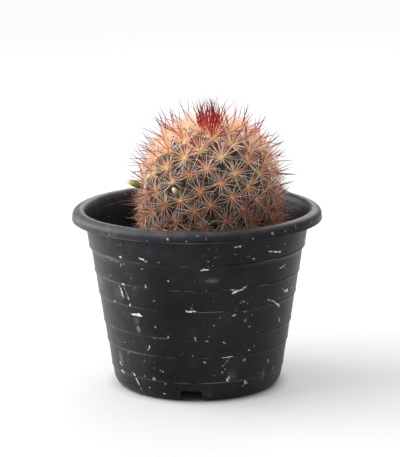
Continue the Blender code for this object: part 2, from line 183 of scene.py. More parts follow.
def newFinish(name, roughness, specular=0.5):
    finish = bpy.data.materials.new(name)
    finish.use_nodes = True
    tree = finish.node_tree
    shader = tree.nodes["Principled BSDF"]
    shader.inputs["Roughness"].default_value = roughness
    shader.inputs["Specular IOR Level"].default_value = specular
    return finish, tree, shader


def setBase(tree, shader, color):
    tree.links.new(color, shader.inputs["Base Color"])


def letGlow(shader, share, color, depth):  # light that passes through thin spines
    shader.inputs["Subsurface Weight"].default_value = share
    shader.inputs["Subsurface Radius"].default_value = color
    shader.inputs["Subsurface Scale"].default_value = depth


def giveBump(tree, shader, height, strength, distance):
    bump = put(tree, "Bump", {"Height": height, "Strength": strength, "Distance": distance})
    tree.links.new(bump.outputs["Normal"], shader.inputs["Normal"])


# shared shader groups

def makeGroup(name, inputs, output):  # an input that holds None is a vector
    tree = bpy.data.node_groups.new(name, "ShaderNodeTree")
    for socketName, value in inputs.items():
        kind = "NodeSocketVector" if value is None else "NodeSocketFloat"
        socket = tree.interface.new_socket(socketName, in_out="INPUT", socket_type=kind)
        if value is not None:
            socket.default_value = value
    tree.interface.new_socket(output, in_out="OUTPUT", socket_type="NodeSocketFloat")
    return tree, tree.nodes.new("NodeGroupInput").outputs, tree.nodes.new("NodeGroupOutput").inputs


def makeDust():  # soft uneven patches, 0 clean to 1 dusty
    inputs = {"Place": None, "Scale": 30.0, "Cover": 0.5, "Soft": 0.2}
    tree, source, result = makeGroup("dustPatches", inputs, "Mask")
    wide = noiseAt(tree, source["Place"], source["Scale"], 5.0, 0.62)
    low = calc(tree, "SUBTRACT", 1.0, source["Cover"])
    high = calc(tree, "ADD", low, source["Soft"])
    tree.links.new(remap(tree, wide, low, high), result["Mask"])
    return tree


def makeSpecks():  # small separate dots, in only a share of the cells
    inputs = {"Place": None, "Scale": 300.0, "Size": 0.2, "Share": 0.3}
    tree, source, result = makeGroup("fineSpecks", inputs, "Mask")
    cells = put(tree, "TexVoronoi", {"Vector": source["Place"], "Scale": source["Scale"]})
    pick = put(tree, "SeparateColor", {0: cells.outputs["Color"]})
    chosen = calc(tree, "LESS_THAN", pick.outputs[0], source["Share"])
    size = calc(tree, "MULTIPLY", source["Size"], calc(tree, "ADD", 0.4, pick.outputs[1]))
    near = calc(tree, "LESS_THAN", cells.outputs["Distance"], size)
    tree.links.new(calc(tree, "MULTIPLY", chosen, near), result["Mask"])
    return tree


def makeGrain():  # fine uneven relief
    inputs = {"Place": None, "Scale": 400.0, "Rough": 0.6}
    tree, source, result = makeGroup("surfaceGrain", inputs, "Height")
    tree.links.new(noiseAt(tree, source["Place"], source["Scale"], 4.0, source["Rough"]), result["Height"])
    return tree


def makeSmudge():  # one soft broken smear round a point
    inputs = {"Place": None, "Centre": None, "Size": None, "Strength": 0.5}
    tree, source, result = makeGroup("softSmudge", inputs, "Mask")
    offset = put(tree, "VectorMath", {0: source["Place"], 1: source["Centre"]}, operation="SUBTRACT")
    scaled = put(tree, "VectorMath", {0: offset.outputs[0], 1: source["Size"]}, operation="DIVIDE")
    away = put(tree, "VectorMath", {0: scaled.outputs[0]}, operation="LENGTH").outputs["Value"]
    uneven = calc(tree, "ADD", away, swing(tree, noiseAt(tree, source["Place"], 650.0, 5.0, 0.7), 1.6))
    mask = calc(tree, "MULTIPLY", remap(tree, uneven, 1.0, 0.2), source["Strength"])
    tree.links.new(mask, result["Mask"])
    return tree


dustPatches = makeDust()
softSmudge = makeSmudge()
fineSpecks = makeSpecks()
surfaceGrain = makeGrain()
print("shader groups ready")


def fillGroup(tree, group, inputs):
    node = tree.nodes.new("ShaderNodeGroup")
    node.node_tree = group
    return connect(tree, node, inputs).outputs[0]


def dustAt(tree, place, scale, cover, soft):
    return fillGroup(tree, dustPatches, {"Place": place, "Scale": scale, "Cover": cover, "Soft": soft})


def specksAt(tree, place, scale, size, share):
    return fillGroup(tree, fineSpecks, {"Place": place, "Scale": scale, "Size": size, "Share": share})


def grainAt(tree, place, scale, rough=0.6):
    return fillGroup(tree, surfaceGrain, {"Place": place, "Scale": scale, "Rough": rough})


# camera, lights and floor

studio = {
    "cameraPlace": (0.0, -0.9703, 0.2819),
    "cameraAim": (0.00136, 0.0, 0.0703),
    "lens": 198.9,
    "roll": -0.35,
    "floorRadius": 14.0,
    "floorColor": 0.42,
    "floorGlow": 0.29,
    "underPot": (0.034, 0.042),
    "floorFade": (0.45, 1.3),
    "backColor": 0.966,
    "roomLight": 0.55,
    "lampAim": (0.0, 0.0, 0.05),
    "lamps": {
        "overheadLamp": {"place": (0.1, 0.4, 2.6), "size": 3.6, "power": 44.0},
        "leftLamp": {"place": (-1.15, -0.06, 0.80), "size": 1.5, "power": 33.0},
        "edgeLamp": {"place": (-0.85, 0.45, 0.22), "size": 0.7, "power": 5.0},
        "backLamp": {"place": (0.25, 1.3, 0.85), "size": 0.9, "power": 9.0},
    },
}


def aimAt(thing, target):
    direction = Vector(target) - thing.location
    thing.rotation_euler = direction.to_track_quat("-Z", "Y").to_euler()


def buildCamera():
    camera = bpy.data.objects.new("camera", bpy.data.cameras.new("camera"))
    bpy.context.scene.collection.objects.link(camera)
    camera.data.sensor_fit = "HORIZONTAL"
    camera.data.sensor_width = 36.0
    camera.data.lens = studio["lens"]
    camera.data.clip_start = 0.01
    camera.location = studio["cameraPlace"]
    aimAt(camera, studio["cameraAim"])
    camera.rotation_euler.rotate_axis("Z", math.radians(studio["roll"]))
    bpy.context.scene.camera = camera


def buildLamps():
    for name, lamp in studio["lamps"].items():
        light = bpy.data.lights.new(name, "AREA")
        light.shape = "SQUARE"
        light.size = lamp["size"]
        light.energy = lamp["power"]
        holder = bpy.data.objects.new(name, light)
        holder.location = lamp["place"]
        aimAt(holder, studio["lampAim"])
        bpy.context.scene.collection.objects.link(holder)


def buildRoom():
    world = bpy.data.worlds.new("studioRoom")
    world.use_nodes = True
    tree = world.node_tree
    tree.nodes.clear()
    white = (1.0, 1.0, 1.0, 1.0)
    seen = put(tree, "Background", {"Color": white, "Strength": studio["backColor"]})
    lit = put(tree, "Background", {"Color": white, "Strength": studio["roomLight"]})
    path = put(tree, "LightPath")
    both = put(tree, "MixShader", {0: path.outputs["Is Camera Ray"], 1: lit.outputs[0], 2: seen.outputs[0]})
    put(tree, "OutputWorld", {"Surface": both.outputs[0]})
    bpy.context.scene.world = world
    bpy.context.scene.view_settings.view_transform = "Standard"


def buildFloor():
    finish, tree, shader = newFinish("palePaper", 0.95, 0.0)
    away = put(tree, "VectorMath", {0: objectPlace(tree)}, operation="LENGTH").outputs["Value"]
    far = remap(tree, away, *studio["floorFade"])  # the paper runs out into the bright room
    # painted light: from just outside the pot's foot the floor glows evenly, which lightens the shadows cast
    # on it
    near = remap(tree, away, *studio["underPot"], 0.0, studio["floorGlow"])
    glow = calc(tree, "ADD", near, calc(tree, "MULTIPLY", far, studio["backColor"] - studio["floorGlow"]))
    shade = remap(tree, far, 0.0, 1.0, studio["floorColor"], 0.0)
    for value, socketName in ((shade, "Base Color"), (glow, "Emission Color")):
        grey = put(tree, "CombineColor", {0: value, 1: value, 2: value}).outputs[0]
        tree.links.new(grey, shader.inputs[socketName])
    shader.inputs["Emission Strength"].default_value = 1.0
    bm = bmesh.new()
    bmesh.ops.create_circle(bm, cap_ends=True, segments=96, radius=studio["floorRadius"])
    floor = placeShape("studioFloor", bm, finish)


buildCamera()
buildLamps()
buildRoom()
buildFloor()
print("studio ready")


# pot

potSize = {
    "height": 80.5, "rimRadius": 56.0, "rimDepth": 4.9, "wallFoot": 37.3, "taper": 0.1425,
    "ledges": (9.2, 21.0, 29.9, 42.7, 52.6, 64.0), "ledgeStep": 0.25, "shoulderStep": 0.85,
    "ledgeDrop": 1.8, "thickness": 1.0, "steps": 192,
    "ledgeBeads": ((0.16, 0.0, 0.26), (-0.10, 0.75, 0.28)),  # size, rise over the ledge, spread
    "ledgeRows": (-2.0, -1.9, -1.0, -0.5, -0.28, -0.12, 0.0, 0.12, 0.28, 0.45, 0.75, 1.0, 1.3),
    "rowStep": 1.7, "rowGap": 0.09,
    "recess": 5.6, "floorThickness": 1.0, "footRing": (32.7, 33.4), "footCorner": 6.0,
    "underside": ((0.0, 0.0), (30.0, 0.0), (35.1, 0.0), (35.6, -0.25), (35.7, -0.8)),
    "footEdge": ((0.1, 0.3), (0.2, 0.08), (0.35, 0.0)),
    "cornerAngles": (6.0, 14.0, 24.0, 35.0, 46.0, 57.0, 68.0, 79.0),
    "underLip": ((0.15, -3.6), (0.55, -2.5), (1.5, -1.8)),
    "rimEdge": (  # out from the rim's radius, up from its top
        (-3.0, -1.25), (-1.9, -1.7), (-1.2, -2.6), (-1.0, -4.4), (-0.85, -4.85), (-0.45, -4.9),
        (-0.05, -4.75), (0.0, -4.45), (-0.12, -4.1), (-0.16, -3.2), (-0.22, -2.5), (-0.42, -1.85),
        (-0.8, -1.3), (-1.35, -0.82), (-2.1, -0.38), (-2.8, -0.12), (-3.5, 0.0), (-4.3, -0.1),
        (-5.0, -0.4), (-5.55, -0.9), (-5.95, -1.6),
    ),
    "lipInside": (0.05, -3.2), "insideRows": (72.0, 66.0, 58.0, 44.0, 30.0, 16.0),
    "floorCorner": ((-0.5, 0.4), (-1.6, 0.0)),
    "notchTurn": -4.5, "notchTop": 8.8, "notchBottom": 11.2, "notchHeight": 5.5,
    "notchPlace": 37.0, "notchDepth": 12.0, "notchRound": 0.9, "belowFoot": 1.0,
    "drainRadius": 3.0, "drainCircle": 21.0, "drainCut": 4.0,
    "waveFrom": 66.0, "waveRise": 14.0, "waves": ((0.16, 2.0, 0.7), (0.09, 5.0, 2.1)),
}


def wallRadius(height, detail=True):
    radius = potSize["wallFoot"] + potSize["taper"] * height
    drop = potSize["ledgeDrop"]
    for ledge in potSize["ledges"]:
        step = potSize["shoulderStep"] if ledge == potSize["ledges"][-1] else potSize["ledgeStep"]
        radius += step * min(max((height - ledge + drop) / drop, 0.0), 1.0)
        if detail:
            for size, rise, spread in potSize["ledgeBeads"]:
                radius += size * math.exp(-((height - ledge - rise) / spread) ** 2)
    return radius


def innerRadius(height):
    rimFoot = potSize["height"] - potSize["rimDepth"]
    low = wallRadius(potSize["recess"], False) - potSize["thickness"]
    high = wallRadius(rimFoot, False) - potSize["thickness"]
    return low + (high - low) * (height - potSize["recess"]) / (rimFoot - potSize["recess"])


def wallHeights():
    rimFoot = potSize["height"] - potSize["rimDepth"]
    heights = {ledge + offset for ledge in potSize["ledges"] for offset in potSize["ledgeRows"]}
    heights |= {potSize["footCorner"] + potSize["rowStep"] * index for index in range(42)}
    kept = [potSize["footCorner"]]
    for height in sorted(heights):
        if height - kept[-1] > potSize["rowGap"] and height < rimFoot - 0.3:
            kept.append(height)
    return kept + [rimFoot]


def potOutline():
    top, rim = potSize["height"], potSize["rimRadius"]
    recess, corner = potSize["recess"], potSize["footCorner"]
    ringIn, ringOut = potSize["footRing"]
    outline = [(radius, recess + rise) for radius, rise in potSize["underside"]]
    outline += [(ringIn + out, rise) for out, rise in potSize["footEdge"]] + [(ringOut, 0.0)]
    for angle in map(math.radians, potSize["cornerAngles"]):
        radius = ringOut + (wallRadius(corner) - ringOut) * math.sin(angle)
        outline.append((radius, corner * (1.0 - math.cos(angle))))
    outline += [(wallRadius(height), height) for height in wallHeights()]
    wallTop = wallRadius(top - potSize["rimDepth"])
    outline += [(wallTop + out, top + rise) for out, rise in potSize["underLip"]]
    outline += [(rim + out, top + rise) for out, rise in potSize["rimEdge"]]
    out, rise = potSize["lipInside"]
    outline += [(innerRadius(top + rise) + out, top + rise)]
    outline += [(innerRadius(height), height) for height in potSize["insideRows"]]
    floorTop = recess + potSize["floorThickness"]
    outline += [(innerRadius(floorTop + 1.5), floorTop + 1.5)]
    outline += [(innerRadius(floorTop) + out, floorTop + rise) for out, rise in potSize["floorCorner"]]
    return outline + [(0.0, floorTop)]


def potCutter():  # four foot notches, and drain holes through the floor
    notch = bmesh.new()
    bmesh.ops.create_cube(notch, size=1.0)
    for vert in notch.verts:
        low = vert.co.z < 0.0
        width = potSize["notchBottom"] if low else potSize["notchTop"]
        height = -potSize["belowFoot"] if low else potSize["notchHeight"]
        out = potSize["notchPlace"] - vert.co.y * potSize["notchDepth"]
        vert.co = Vector((vert.co.x * width, -out, height)) * mm
    corners = [edge for edge in notch.edges if all(end.co.z > 0.0 for end in edge.verts)]
    corners = [edge for edge in corners if abs(edge.verts[0].co.x - edge.verts[1].co.x) < 1e-6]
    bmesh.ops.bevel(
        notch, geom=corners, offset=potSize["notchRound"] * mm, affect="EDGES", segments=4,
        profile=0.5, material=-1,
    )
    notch = makeStamp("notch", notch)
    bm = bmesh.new()
    for index in range(4):
        turn = math.radians(potSize["notchTurn"] + 90.0 * index)
        addStamp(bm, notch, Matrix.Rotation(turn, 4, "Z"))
    holes = [(0.0, 0.0)]
    for index in range(6):
        turn = math.radians(potSize["notchTurn"] + 60.0 * index)
        holes.append((potSize["drainCircle"] * math.cos(turn), potSize["drainCircle"] * math.sin(turn)))
    radius, depth = potSize["drainRadius"] * mm, potSize["drainCut"] * mm
    for x, y in holes:
        place = Matrix.Translation(Vector((x, y, potSize["recess"] + 0.5 * potSize["floorThickness"])) * mm)
        bmesh.ops.create_cone(
            bm, cap_ends=True, segments=32, radius1=radius, radius2=radius, depth=depth, matrix=place,
        )
    bmesh.ops.recalc_face_normals(bm, faces=bm.faces)
    return bm


plasticLook = {
    "roughness": 0.36, "specular": 0.17,
    "clean": (0.0030, 0.0030, 0.0048), "hazy": (0.032, 0.032, 0.039), "smeared": (0.15, 0.15, 0.165),
    # the rim colour below is a painted highlight for the rim's top
    "rimPaintedHighlight": (0.100, 0.100, 0.105), "leftPaintedLight": (0.060, 0.060, 0.065), "edgeWorn": (0.16, 0.16, 0.16),
    "spotted": (0.30, 0.29, 0.27),
    "footDust": (12.0, 0.55), "ledgeEdge": (0.05, 0.22), "lipEdge": (75.7, 0.30),
    # the left-side range and colour here paint light onto the wall's left side
    "rimTop": (76.8, 79.0), "rimSide": (30.0, -40.0), "litSide": (-20.0, -45.0),
    "smudges": (  # turn, height, width, tall, strength
        (-38.0, 36.8, 3.6, 6.0, 0.35), (-37.5, 32.6, 3.4, 4.0, 0.85), (8.0, 57.3, 6.8, 3.2, 0.55),
        (-52.0, 63.6, 13.0, 3.0, 0.5), (-59.0, 16.0, 4.0, 9.0, 0.55), (-72.0, 50.0, 9.0, 9.0, 0.5),
        (48.0, 9.5, 3.0, 9.0, 0.4), (-50.0, 48.0, 9.0, 10.0, 0.25), (22.0, 12.0, 6.0, 8.0, 0.25),
        (112.0, 44.0, 8.0, 5.0, 0.5), (150.0, 22.0, 5.0, 9.0, 0.5), (196.0, 58.0, 12.0, 4.0, 0.45),
        (238.0, 35.0, 6.0, 8.0, 0.5), (262.0, 14.0, 7.0, 5.0, 0.5), (85.0, 60.0, 6.0, 3.0, 0.5),
    ),
}


def smearsAt(tree, place):
    smears = 0.0
    for turn, height, width, tall, strength in plasticLook["smudges"]:
        angle, radius = math.radians(turn), wallRadius(height, False)
        centre = Vector((radius * math.sin(angle), -radius * math.cos(angle), height)) * mm
        size = Vector((0.5 * width, 0.5 * width, 0.5 * tall)) * mm
        inputs = {"Place": place, "Centre": centre, "Size": size, "Strength": strength}
        smears = calc(tree, "MAXIMUM", smears, fillGroup(tree, softSmudge, inputs))
    return smears


def wornEdges(tree, place, height):  # pale wear along the ledges and round the lip
    rise, reach = plasticLook["ledgeEdge"]
    onLedge = 0.0
    for ledge in potSize["ledges"]:
        onLedge = calc(tree, "ADD", onLedge, nearTo(tree, height, (ledge + rise) * mm, reach * mm))
    onLip = nearTo(tree, height, plasticLook["lipEdge"][0] * mm, plasticLook["lipEdge"][1] * mm)
    ledgeWear = calc(tree, "MULTIPLY", onLedge, dustAt(tree, place, 70.0, 0.50, 0.12))
    lipWear = calc(tree, "MULTIPLY", onLip, dustAt(tree, place, 45.0, 0.55, 0.15))
    return calc(tree, "MAXIMUM", ledgeWear, lipWear)


def remapMm(tree, value, ends, toLow=0.0, toHigh=1.0):
    return remap(tree, value, ends[0] * mm, ends[1] * mm, toLow, toHigh)


def makePlastic():
    look = plasticLook
    finish, tree, shader = newFinish("blackPlastic", look["roughness"], look["specular"])
    place = objectPlace(tree)
    axes = put(tree, "SeparateXYZ", {0: place}).outputs
    fineHaze = dustAt(tree, place, 180.0, 0.50, 0.30)
    broken = calc(tree, "ADD", 0.45, calc(tree, "MULTIPLY", fineHaze, 0.55))
    haze = calc(tree, "MULTIPLY", dustAt(tree, place, 26.0, 0.60, 0.32), broken)
    footDust = remapMm(tree, axes[2], (look["footDust"][0], 0.0), 0.0, look["footDust"][1])
    haze = calc(tree, "ADD", haze, calc(tree, "MULTIPLY", footDust, fineHaze), clamp=True)
    color = blendColor(tree, haze, look["clean"], look["hazy"])
    color = blendColor(tree, smearsAt(tree, place), color, look["smeared"])
    # painted highlight on the rim's top, strongest on the left and broken up by the haze pattern
    leftward = remapMm(tree, axes[0], look["rimSide"], 0.25, 1.0)
    rimHighlight = calc(tree, "MULTIPLY", remapMm(tree, axes[2], look["rimTop"]), leftward)
    rimHighlight = calc(tree, "MULTIPLY", rimHighlight, calc(tree, "ADD", 0.35, fineHaze))
    color = blendColor(tree, calc(tree, "MULTIPLY", rimHighlight, 0.85, clamp=True), color, look["rimPaintedHighlight"])
    # painted light: the left side of the wall is made lighter, patchy with the haze pattern
    leftSideLight = remapMm(tree, axes[0], look["litSide"], 0.0, 0.55)
    leftSideLight = calc(tree, "MULTIPLY", leftSideLight, calc(tree, "ADD", 0.5, fineHaze), clamp=True)
    color = blendColor(tree, leftSideLight, color, look["leftPaintedLight"])
    rubbed = wornEdges(tree, place, axes[2])
    color = blendColor(tree, calc(tree, "MULTIPLY", rubbed, 0.55), color, look["edgeWorn"])
    dots = (specksAt(tree, place, 420.0, 0.15, 0.13), specksAt(tree, place, 150.0, 0.10, 0.12))
    spots = calc(tree, "MAXIMUM", *dots)
    setBase(tree, shader, blendColor(tree, calc(tree, "MULTIPLY", spots, 0.6), color, look["spotted"]))
    dull = calc(tree, "MULTIPLY", calc(tree, "MAXIMUM", spots, rubbed), 0.3)
    dull = calc(tree, "ADD", calc(tree, "MULTIPLY", haze, 0.22), dull)
    tree.links.new(calc(tree, "ADD", look["roughness"], dull, clamp=True), shader.inputs["Roughness"])
    giveBump(tree, shader, grainAt(tree, place, 900.0), 0.35, 0.00006)
    return finish


def buildPot():
    bm = spinShape(potOutline(), potSize["steps"])
    for vert in bm.verts:  # the thin rim isn't quite true
        share = min(max((vert.co.z / mm - potSize["waveFrom"]) / potSize["waveRise"], 0.0), 1.0)
        flat = Vector((vert.co.x, vert.co.y, 0.0))
        if share > 0.0 and flat.length > 0.04:
            turn = math.atan2(flat.y, flat.x)
            wave = sum(size * math.sin(count * turn + phase) for size, count, phase in potSize["waves"])
            vert.co += flat.normalized() * (wave * share * mm)
    pot = placeShape("potShell", bm, makePlastic(), 38.0)
    cutter = placeShape("potCutter", potCutter(), pot.data.materials[0])
    cut = pot.modifiers.new("cut", "BOOLEAN")
    cut.operation, cut.solver, cut.object = "DIFFERENCE", "EXACT", cutter
    finished = bpy.data.meshes.new_from_object(pot.evaluated_get(bpy.context.evaluated_depsgraph_get()))
    pot.modifiers.clear()
    rough, pot.data = pot.data, finished
    bpy.data.objects.remove(cutter)
    bpy.data.meshes.remove(rough)
    pot.data.name = "potShell"
    pot.data.set_sharp_from_angle(angle=math.radians(38.0))
    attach(pot, "root")
    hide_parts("pot")


buildPot()
print("pot ready")


# dried lime and soil flecks on the wall: turn, height, width, tall, tilt, tone

flecks = {
    "thickness": 0.07,
    "places": (
        (3.8, 62.4, 3.2, 1.0, 12, 0.95), (-28.7, 66.0, 3.8, 0.9, -14, 0.85), (-43.0, 65.6, 1.7, 0.9, 10, 0.9),
        (-52.0, 63.0, 1.8, 1.3, 30, 0.45), (-46.5, 63.0, 2.2, 0.5, 5, 0.55), (-44.5, 61.6, 1.0, 2.0, 10, 0.6),
        (-42.3, 62.4, 1.1, 0.6, 0, 0.6), (-60.0, 61.7, 3.2, 0.9, -20, 0.4), (-15.6, 57.1, 0.8, 0.8, 0, 0.8),
        (-30.3, 61.4, 1.0, 0.8, 0, 0.5), (-29.0, 53.5, 0.9, 2.0, -12, 0.55), (-44.5, 52.8, 2.5, 0.6, -8, 0.85),
        (-37.0, 51.7, 0.4, 2.8, -48, 0.3), (-47.0, 48.9, 1.2, 4.6, 24, 0.75), (-42.2, 46.8, 0.6, 1.8, 20, 0.7),
        (-43.6, 49.6, 0.35, 7.2, 26, 0.5), (21.8, 51.6, 4.0, 1.3, 10, 0.95), (19.6, 52.6, 4.2, 0.5, -4, 0.7),
        (25.6, 52.8, 3.6, 0.6, 20, 0.8), (25.9, 46.4, 2.4, 1.1, 0, 0.45), (-41.6, 43.5, 0.9, 1.1, 0, 0.85),
        (-55.0, 43.3, 1.2, 0.9, 0, 0.6), (-3.9, 43.2, 4.0, 0.9, -3, 0.95), (-3.2, 44.3, 1.2, 1.4, 0, 0.3),
        (-37.2, 39.4, 5.0, 1.5, -4, 1.0), (-25.3, 34.9, 1.0, 1.1, 0, 0.55), (21.3, 40.6, 1.9, 0.8, 38, 0.75),
        (13.0, 39.9, 1.4, 0.6, 40, 0.3), (28.0, 41.8, 2.6, 0.7, 8, 0.35), (28.8, 37.4, 1.7, 0.9, 30, 0.5),
        (31.8, 34.2, 0.9, 1.1, 0, 0.5), (44.3, 67.4, 6.2, 0.95, -11, 0.95), (20.9, 72.3, 2.8, 0.8, 2, 0.9),
        (19.3, 69.0, 2.4, 0.5, 4, 0.3), (9.3, 68.1, 1.6, 0.5, 6, 0.45), (27.2, 67.3, 1.3, 0.4, 38, 0.5),
        (30.0, 66.0, 1.3, 0.8, 10, 0.6), (8.0, 64.4, 1.4, 0.5, 5, 0.35), (52.2, 59.1, 4.2, 0.6, 11, 0.85),
        (52.2, 63.1, 2.0, 0.5, 0, 0.4), (61.0, 46.7, 3.2, 1.5, 10, 0.95), (57.0, 48.0, 3.6, 0.5, -28, 0.5),
        (44.0, 45.2, 2.8, 0.5, -16, 0.55), (48.2, 43.9, 3.2, 0.8, -20, 0.8), (53.6, 41.4, 4.0, 1.2, -26, 0.95),
        (57.5, 33.8, 0.9, 3.0, 30, 0.7), (-30.8, 24.9, 0.5, 2.1, -8, 0.8), (-17.6, 30.8, 0.9, 1.1, 0, 0.8),
        (-26.6, 29.4, 0.9, 0.7, 0, 0.5), (-1.3, 30.2, 0.6, 2.0, 24, 0.85), (5.3, 29.2, 2.0, 0.5, 0, 0.6),
        (18.4, 21.1, 4.0, 0.55, 3, 0.85), (17.4, 18.3, 4.2, 0.45, 48, 0.6), (4.4, 19.2, 0.8, 0.7, 0, 0.8),
        (33.4, 23.1, 1.0, 0.8, 0, 0.8), (15.9, 13.9, 1.6, 0.5, 34, 0.45), (19.7, 10.6, 0.9, 3.6, -16, 0.95),
        (32.6, 7.9, 1.2, 1.5, 0, 0.85), (51.8, 15.3, 0.9, 1.9, 0, 0.75), (43.4, 10.9, 2.2, 0.5, 0, 0.35),
        (-22.8, 14.1, 0.8, 0.8, 0, 0.6), (-44.9, 8.0, 1.1, 6.0, 30, 0.8), (-47.5, 10.6, 1.4, 0.9, 0, 0.6),
        (-60.5, 13.0, 2.0, 1.2, -30, 0.65), (-59.0, 9.6, 2.6, 1.0, -20, 0.7), (-61.0, 17.0, 0.8, 3.6, 6, 0.35),
        (-23.0, 3.5, 1.3, 0.5, 0, 0.7), (-54.5, 21.1, 0.8, 1.1, 0, 0.6), (10.4, 12.8, 0.7, 0.6, 0, 0.5),
        (-13.0, 77.6, 0.9, 0.9, 0, 0.8), (-22.5, 76.2, 0.8, 0.5, 0, 0.6), (1.5, 76.0, 1.1, 0.45, 0, 0.6),
        (35.5, 77.8, 0.8, 1.4, 10, 0.6), (4.0, 78.0, 0.6, 1.0, 40, 0.3), (50.0, 78.6, 1.0, 1.2, 0, 0.35),
    ),
    "scattered": 260, "farMarks": 30, "farTurns": (72.0, 288.0), "frontTurn": 70.0,
    "radii": (0.56, 0.46), "waves": (2, 3, 5, 7), "wave": 0.42, "sunk": 0.08,
    "rimTurn": 78.4, "rimInset": 0.18, "rimCurve": 0.315,
}


def skinRadius(height):
    if height > potSize["height"] - potSize["rimDepth"]:
        over = max(height - flecks["rimTurn"], 0.0)
        return potSize["rimRadius"] - flecks["rimInset"] - flecks["rimCurve"] * over ** 2
    return wallRadius(height)


def addFleck(bm, turn, height, width, tall, tilt, tone, source):
    layer = bm.verts.layers.float["tone"]
    low, high = flecks["radii"]
    made = bmesh.ops.create_cone(bm, cap_ends=True, segments=18, radius1=low, radius2=high, depth=1.0)["verts"]
    waves = [(count, source.uniform(0.0, math.tau)) for count in flecks["waves"]]
    slope = math.radians(tilt)
    for vert in made:
        around = math.atan2(vert.co.y, vert.co.x)
        swell = 1.0
        for count, phase in waves:
            swell += flecks["wave"] / math.sqrt(count) * math.sin(count * around + phase)
        x, y = vert.co.x * swell * width, vert.co.y * swell * tall
        across = x * math.cos(slope) - y * math.sin(slope)
        up = height + x * math.sin(slope) + y * math.cos(slope)
        radius = skinRadius(up) + (flecks["thickness"] * 0.6 if vert.co.z > 0.0 else -flecks["sunk"])
        angle = math.radians(turn) + across / radius
        vert.co = Vector((radius * math.sin(angle), -radius * math.cos(angle), up)) * mm
        vert[layer] = tone


def makeLime():
    finish, tree, shader = newFinish("driedLime", 0.85, 0.2)
    place = objectPlace(tree)
    grain = grainAt(tree, place, 2600.0, 0.7)
    tone = calc(tree, "ADD", attribute(tree, "tone"), swing(tree, grain, 0.9), clamp=True)
    stops = (
        (0.0, (0.030, 0.030, 0.032)), (0.45, (0.19, 0.18, 0.17)), (0.8, (0.55, 0.51, 0.44)),
        (1.0, (0.80, 0.76, 0.64)),
    )
    setBase(tree, shader, ramp(tree, tone, stops))
    giveBump(tree, shader, grain, 0.5, 0.0001)
    worn = noiseAt(tree, place, 900.0, 5.0, 0.75)  # the marks are broken, not solid
    tree.links.new(remap(tree, worn, 0.43, 0.50, 0.12, 1.0), shader.inputs["Alpha"])
    return finish


def buildFlecks():
    source = random.Random(11)
    bm = bmesh.new()
    bm.verts.layers.float.new("tone")
    for fleck in flecks["places"]:
        addFleck(bm, *fleck, source)
    for index in range(flecks["scattered"]):
        turn = source.uniform(0.0, 360.0)
        height = source.uniform(3.0, 74.0)
        size = 0.22 + 0.75 * source.random() ** 5
        if abs((turn + 180.0) % 360.0 - 180.0) >= flecks["frontTurn"]:  # larger marks away from the front
            size *= 1.0 + 1.6 * source.random() ** 6
        shape = source.uniform(0.5, 1.8)
        tone = source.uniform(0.25, 0.8)
        addFleck(bm, turn, height, size * shape, size / shape, source.uniform(-60, 60), tone, source)
    for index in range(flecks["farMarks"]):
        turn = source.uniform(*flecks["farTurns"])
        size = source.uniform(0.8, 1.6)
        addFleck(
            bm, turn, source.uniform(5.0, 72.0), size * source.uniform(1.0, 3.6), size * 0.6,
            source.uniform(-50, 50), source.uniform(0.4, 1.0), source,
        )
    piece = placeShape("limeFlecks", bm, makeLime(), 50.0)
    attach(piece, "root")


buildFlecks()
print("flecks ready")


# potting mix

soilSize = {
    "level": 62.0, "crown": 1.6, "crownReach": 46.0, "bottom": 7.0, "wallGap": 0.3, "steps": 96,
    "lumps": 0.9, "swells": ((0.16, 3.0, 0.9), (0.6, 8.0, 0.45)),  # scale, layer, share
    "wallRows": (20.0, 40.0, 56.0, 61.6),
    "topRings": (
        45.9, 44.8, 43.6, 42.4, 41.2, 40.0, 38.8, 37.6, 36.4, 35.2, 33.8, 32.0, 30.0, 27.0, 20.0, 10.0, 0.0,
    ),
    "grains": 620, "crumbs": 520, "scatter": (20.0, 46.0), "edge": 46.2,
}


def soilHeight(x, y):
    mound = soilSize["crown"] * (1.0 - min(math.hypot(x, y) / soilSize["crownReach"], 1.0))
    rough = 0.0
    for scale, layer, share in soilSize["swells"]:
        rough += noise.noise(Vector((x * scale, y * scale, layer))) * share
    return soilSize["level"] + mound + rough * soilSize["lumps"]


def makeSoil():
    finish, tree, shader = newFinish("pottingMix", 0.95, 0.15)
    place = objectPlace(tree)
    coarse = noiseAt(tree, place, 320.0, 6.0, 0.7)
    stops = ((0.25, (0.006, 0.005, 0.004)), (0.5, (0.030, 0.022, 0.016)), (0.75, (0.085, 0.062, 0.042)))
    sand = calc(tree, "MULTIPLY", specksAt(tree, place, 700.0, 0.4, 0.10), 0.7)
    setBase(tree, shader, blendColor(tree, sand, ramp(tree, coarse, stops), (0.28, 0.24, 0.19)))
    giveBump(tree, shader, coarse, 0.9, 0.0008)
    return finish


def makeGrit():
    finish, tree, shader = newFinish("gritAndPerlite", 0.9, 0.2)
    stops = (
        (0.0, (0.020, 0.014, 0.010)), (0.5, (0.075, 0.052, 0.035)), (0.8, (0.20, 0.16, 0.12)),
        (0.9, (0.36, 0.33, 0.28)), (1.0, (0.62, 0.60, 0.55)),
    )
    grain = grainAt(tree, objectPlace(tree), 1500.0, 0.7)
    color = ramp(tree, attribute(tree, "tone"), stops)
    color = blendColor(tree, calc(tree, "MULTIPLY", grain, 0.6), color, (0.03, 0.02, 0.015))
    setBase(tree, shader, color)
    giveBump(tree, shader, grain, 0.8, 0.0003)
    return finish


